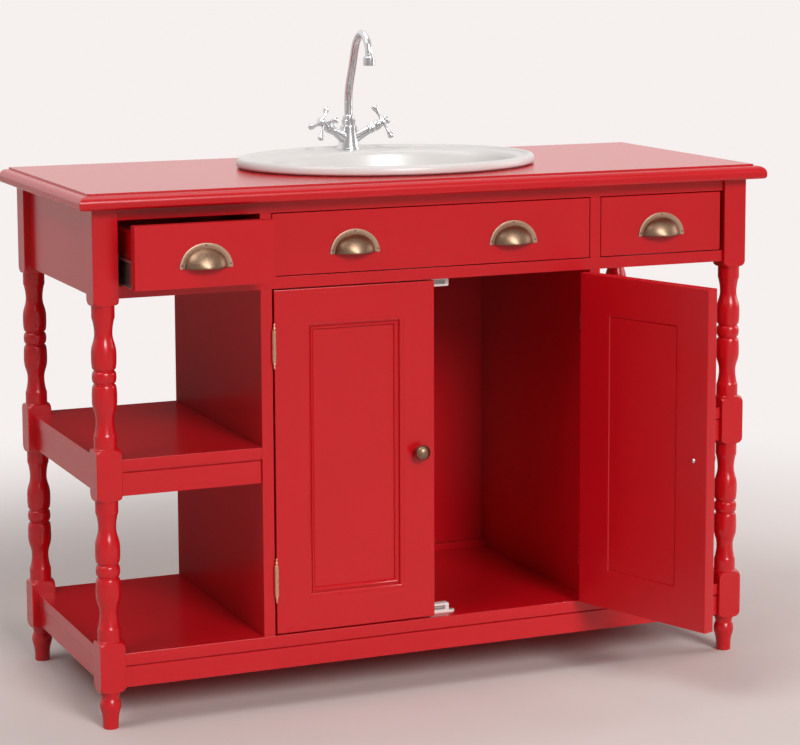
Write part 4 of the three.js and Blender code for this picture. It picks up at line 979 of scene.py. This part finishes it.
def leaf_plate(way, low, high, inner_y, outer_y):
    """A flat leaf beside the pin. It stands on the side that way gives, and its corners are a little rounded."""
    near, far = way * HINGE_GAP / 2, way * (HINGE_GAP / 2 - LEAF_THICK)
    outline = []
    for y, z, start in ((inner_y, low, 180), (outer_y, low, 270), (outer_y, high, 0), (inner_y, high, 90)):
        for step in range(4):
            turn = math.radians(start + 30 * step)
            middle = (y + (1 if y == inner_y else -1), z + (1 if z == low else -1))
            outline.append((middle[0] + math.cos(turn), middle[1] + math.sin(turn)))
    return skin([[Vector((x, y, z)) for y, z in outline] for x in (near, far)])


def leaf_screws(way, places):
    """Countersunk screw heads that stand a hair above the leaf's inner face."""
    face = way * (HINGE_GAP / 2 - LEAF_THICK)
    turn = Matrix.Rotation(-way * math.pi / 2, 4, "Y")
    head = [(0, -0.4), (3.1, -0.4), (3.1, 0.1), (2.6, 0.35), (0, 0.4)]
    return [turned(head, 20, Matrix.Translation((face, y, z)) @ turn) for y, z in places]


for side, sign in SIDES.items():
    for end, height in HINGE_HEIGHTS.items():
        fixed_place = Matrix.Translation((sign * PIN_X, PIN_Y, height))
        lower = [(0, -37)] + [(radius, -25 - rise) for radius, rise in FINIAL[-2::-1]]
        barrel = lower + [(KNUCKLE, -24.9), (KNUCKLE, -0.5), (KNUCKLE - 0.3, -PLAY), (2, -PLAY), (2, 25.3)]
        barrel += [(radius, 25.3 + rise) for radius, rise in FINIAL]
        holes = ((13, -17), (18, 0), (13, 17))
        shapes = [turned(barrel, 28), leaf_plate(sign, -LEAF_HALF, LEAF_HALF, DOOR_FACE, DOOR_FACE + LEAF_WIDE),
                  leaf_plate(sign, -LEAF_HALF, -PLAY, 2, DOOR_FACE + 2)] + leaf_screws(sign, holes)
        make_piece(f"hinge_pin_and_leaf_{side}_{end}", [moved(shape, fixed_place) for shape in shapes], hinge_brass,
                   node=f"hinge_fixed_{side}_{end}")
        moving_place = door_place(side) @ Matrix.Translation((0, 0, height))
        knuckle = [(2.3, PLAY), (KNUCKLE - 0.3, PLAY), (KNUCKLE, 0.5), (KNUCKLE, 24.6),
                   (KNUCKLE - 0.3, LEAF_HALF), (2.3, LEAF_HALF)]
        ring_rows = [oval(radius, radius, (0, 0, rise), 28) for radius, rise in knuckle]
        shapes = [skin(ring_rows, closes=True), leaf_plate(-sign, PLAY, LEAF_HALF, 2.6, DOOR_FACE + 2),
                  leaf_plate(-sign, -LEAF_HALF, LEAF_HALF, DOOR_FACE, DOOR_FACE + LEAF_WIDE)]
        make_piece(f"hinge_door_leaf_{side}_{end}", [moved(shape, moving_place) for shape in shapes], hinge_brass,
                   body=f"door_{side}", node=f"hinge_leaf_{side}_{end}")
print("hinges", 2 * len(HINGE_HEIGHTS))

# %% [markdown]
# ## Magnetic catches
# A white moulded case on a thin base with an ear at each end for its screw. A slot in the front shows the two steel
# pole plates of the magnet. The case is made of rings that run round its front, so the slot is a real recess.

# %% Catches
CATCH_FRONT = FRAME_FRONT + 28.6
CATCHES = {"catch_bottom": (121, 1), "catch_top": (684.5, -1)}  # what it is screwed to, and which way it stands
CASE_MIDDLE = 8.6
POLE_HALF_GAP = 1.9
EAR_X, EAR_RADIUS = 38, 8
SCREW_X = 40


def rounded_ring(half_x, half_z, radius, y, middle_z):
    """An upright rounded rectangle at one depth."""
    ring = []
    for start, (side_x, side_z) in zip((180, 270, 0, 90), ((-1, -1), (1, -1), (1, 1), (-1, 1))):
        for step in range(5):
            turn = math.radians(start + 22.5 * step)
            ring.append(Vector((side_x * (half_x - radius) + radius * math.cos(turn), y,
                                middle_z + side_z * (half_z - radius) + radius * math.sin(turn))))
    return ring


for node, (start, up) in CATCHES.items():
    middle = start + up * CASE_MIDDLE
    case = [rounded_ring(half_x, half_z, radius, CATCH_FRONT + y, middle) for half_x, half_z, radius, y in (
        (32.6, 5.8, 1.2, 14), (33.6, 6.9, 1.8, 13.4), (34, 7.4, 2, 12.2), (34, 7.4, 2, 1.6), (33.6, 7, 1.8, 0.5),
        (32.8, 6.3, 1.5, 0), (27.8, 3.9, 0.9, 0), (27.3, 3.4, 0.7, 0.4), (27, 3.2, 0.6, 5))]
    ear_turns = [WHOLE_TURN * step / 48 for step in range(48)]
    base = []
    for inset, rise in ((0, 0), (0, 2.2), (0.3, 2.7), (0.9, 3)):
        base.append([Vector((math.copysign(EAR_X, math.cos(turn)) + (EAR_RADIUS - inset) * math.cos(turn),
                             CATCH_FRONT + EAR_RADIUS + (EAR_RADIUS - inset) * math.sin(turn), start + up * rise))
                     for turn in ear_turns])
    make_piece(f"moulded_{node}", [skin(case), skin(base)], plastic, node=node)
    poles = []
    for height in (-POLE_HALF_GAP, POLE_HALF_GAP):
        poles.append(skin([rounded_ring(26.6, 0.75, 0.3, CATCH_FRONT + y, middle + height) for y in (1.1, 5.2)]))
    screws = [turned([(0, 2.6), (3.3, 2.6), (3.3, 3.1), (2.4, 4.1), (0, 4.4)], 24,
                     Matrix.Translation((x, CATCH_FRONT + EAR_RADIUS, start))
                     @ Matrix.Scale(up, 4, Vector((0, 0, 1)))) for x in (-SCREW_X, SCREW_X)]
    make_piece(f"poles_of_{node}", poles + screws, steel)
print("catches", len(CATCHES))

# %% [markdown]
# ## Drawer runners
# Ball-bearing runners of two members: a steel channel screwed to the frame, and a second one on the drawer's side
# that runs inside it, with a row of balls in each bend between them. The bends are rolled, so their corners are
# round, and the balls near the front show in the gap beside the drawer.

# %% Runners
RUNNER_LENGTH = 400
RUNNER_FRONT = FRAME_FRONT + 27
RUNNER_MIDDLE = 727
POST_INNER, CABINET_HALF = 533, 300
CHANNEL = (0, 9, 22.5)  # where its back and its lips stand, from the wall, and half its height
SLIDE = (13, 4, 20.7)
BALL_RADIUS = 1.55
BALL_FROM_WALL, BALL_FROM_MIDDLE, BALL_STEP = 2.9, 18.2, 5


def channel_outline(back, lip, half_height, bend=3.2, metal=1.5):
    """A rolled channel's outline, as distance from the wall and height: outside first, then back inside."""
    way = 1 if lip > back else -1
    corners = []
    for radius, shrink in ((bend, 0), (bend - metal, metal)):
        low = []
        for step in range(5):
            turn = math.pi / 2 * step / 4
            low.append((back + way * (shrink + radius * (1 - math.sin(turn))),
                        -half_height + shrink + radius * (1 - math.cos(turn))))
        side_line = [(lip, -half_height + shrink)] + low
        corners.append(side_line + [(distance, -height) for distance, height in reversed(side_line)])
    return corners[0] + corners[1][::-1]


def runner_member(outline, wall_x, inward, front):
    rows = [[Vector((wall_x + inward * distance, y, RUNNER_MIDDLE + height)) for distance, height in outline]
            for y in (front, front + RUNNER_LENGTH)]
    return skin(rows)


ball = [(BALL_RADIUS * math.sin(math.pi * step / 8), -BALL_RADIUS * math.cos(math.pi * step / 8))
        for step in range(9)]
for side, sign in SIDES.items():
    for wall, wall_x, inward in (("outer", sign * POST_INNER, -sign), ("inner", sign * CABINET_HALF, sign)):
        fixed = runner_member(channel_outline(*CHANNEL), wall_x, inward, RUNNER_FRONT)
        make_piece(f"rolled_channel_{side}_{wall}", [fixed], steel,
                   node=f"runner_fixed_{side}_{wall}")
        sliding = runner_member(channel_outline(*SLIDE), wall_x, inward, RUNNER_FRONT - DRAWER_PULL[side])
        make_piece(f"rolled_slide_{side}_{wall}", [sliding], steel, body=f"drawer_{side}",
                   node=f"runner_slide_{side}_{wall}")
        balls = [turned(ball, 12, Matrix.Translation((
            wall_x + inward * BALL_FROM_WALL, RUNNER_FRONT + 4 + BALL_STEP * row,
            RUNNER_MIDDLE + height * BALL_FROM_MIDDLE))) for row in range(10) for height in (-1, 1)]
        make_piece(f"bearing_balls_{side}_{wall}", balls, chrome)
print("runners", 2 * len(SIDES))
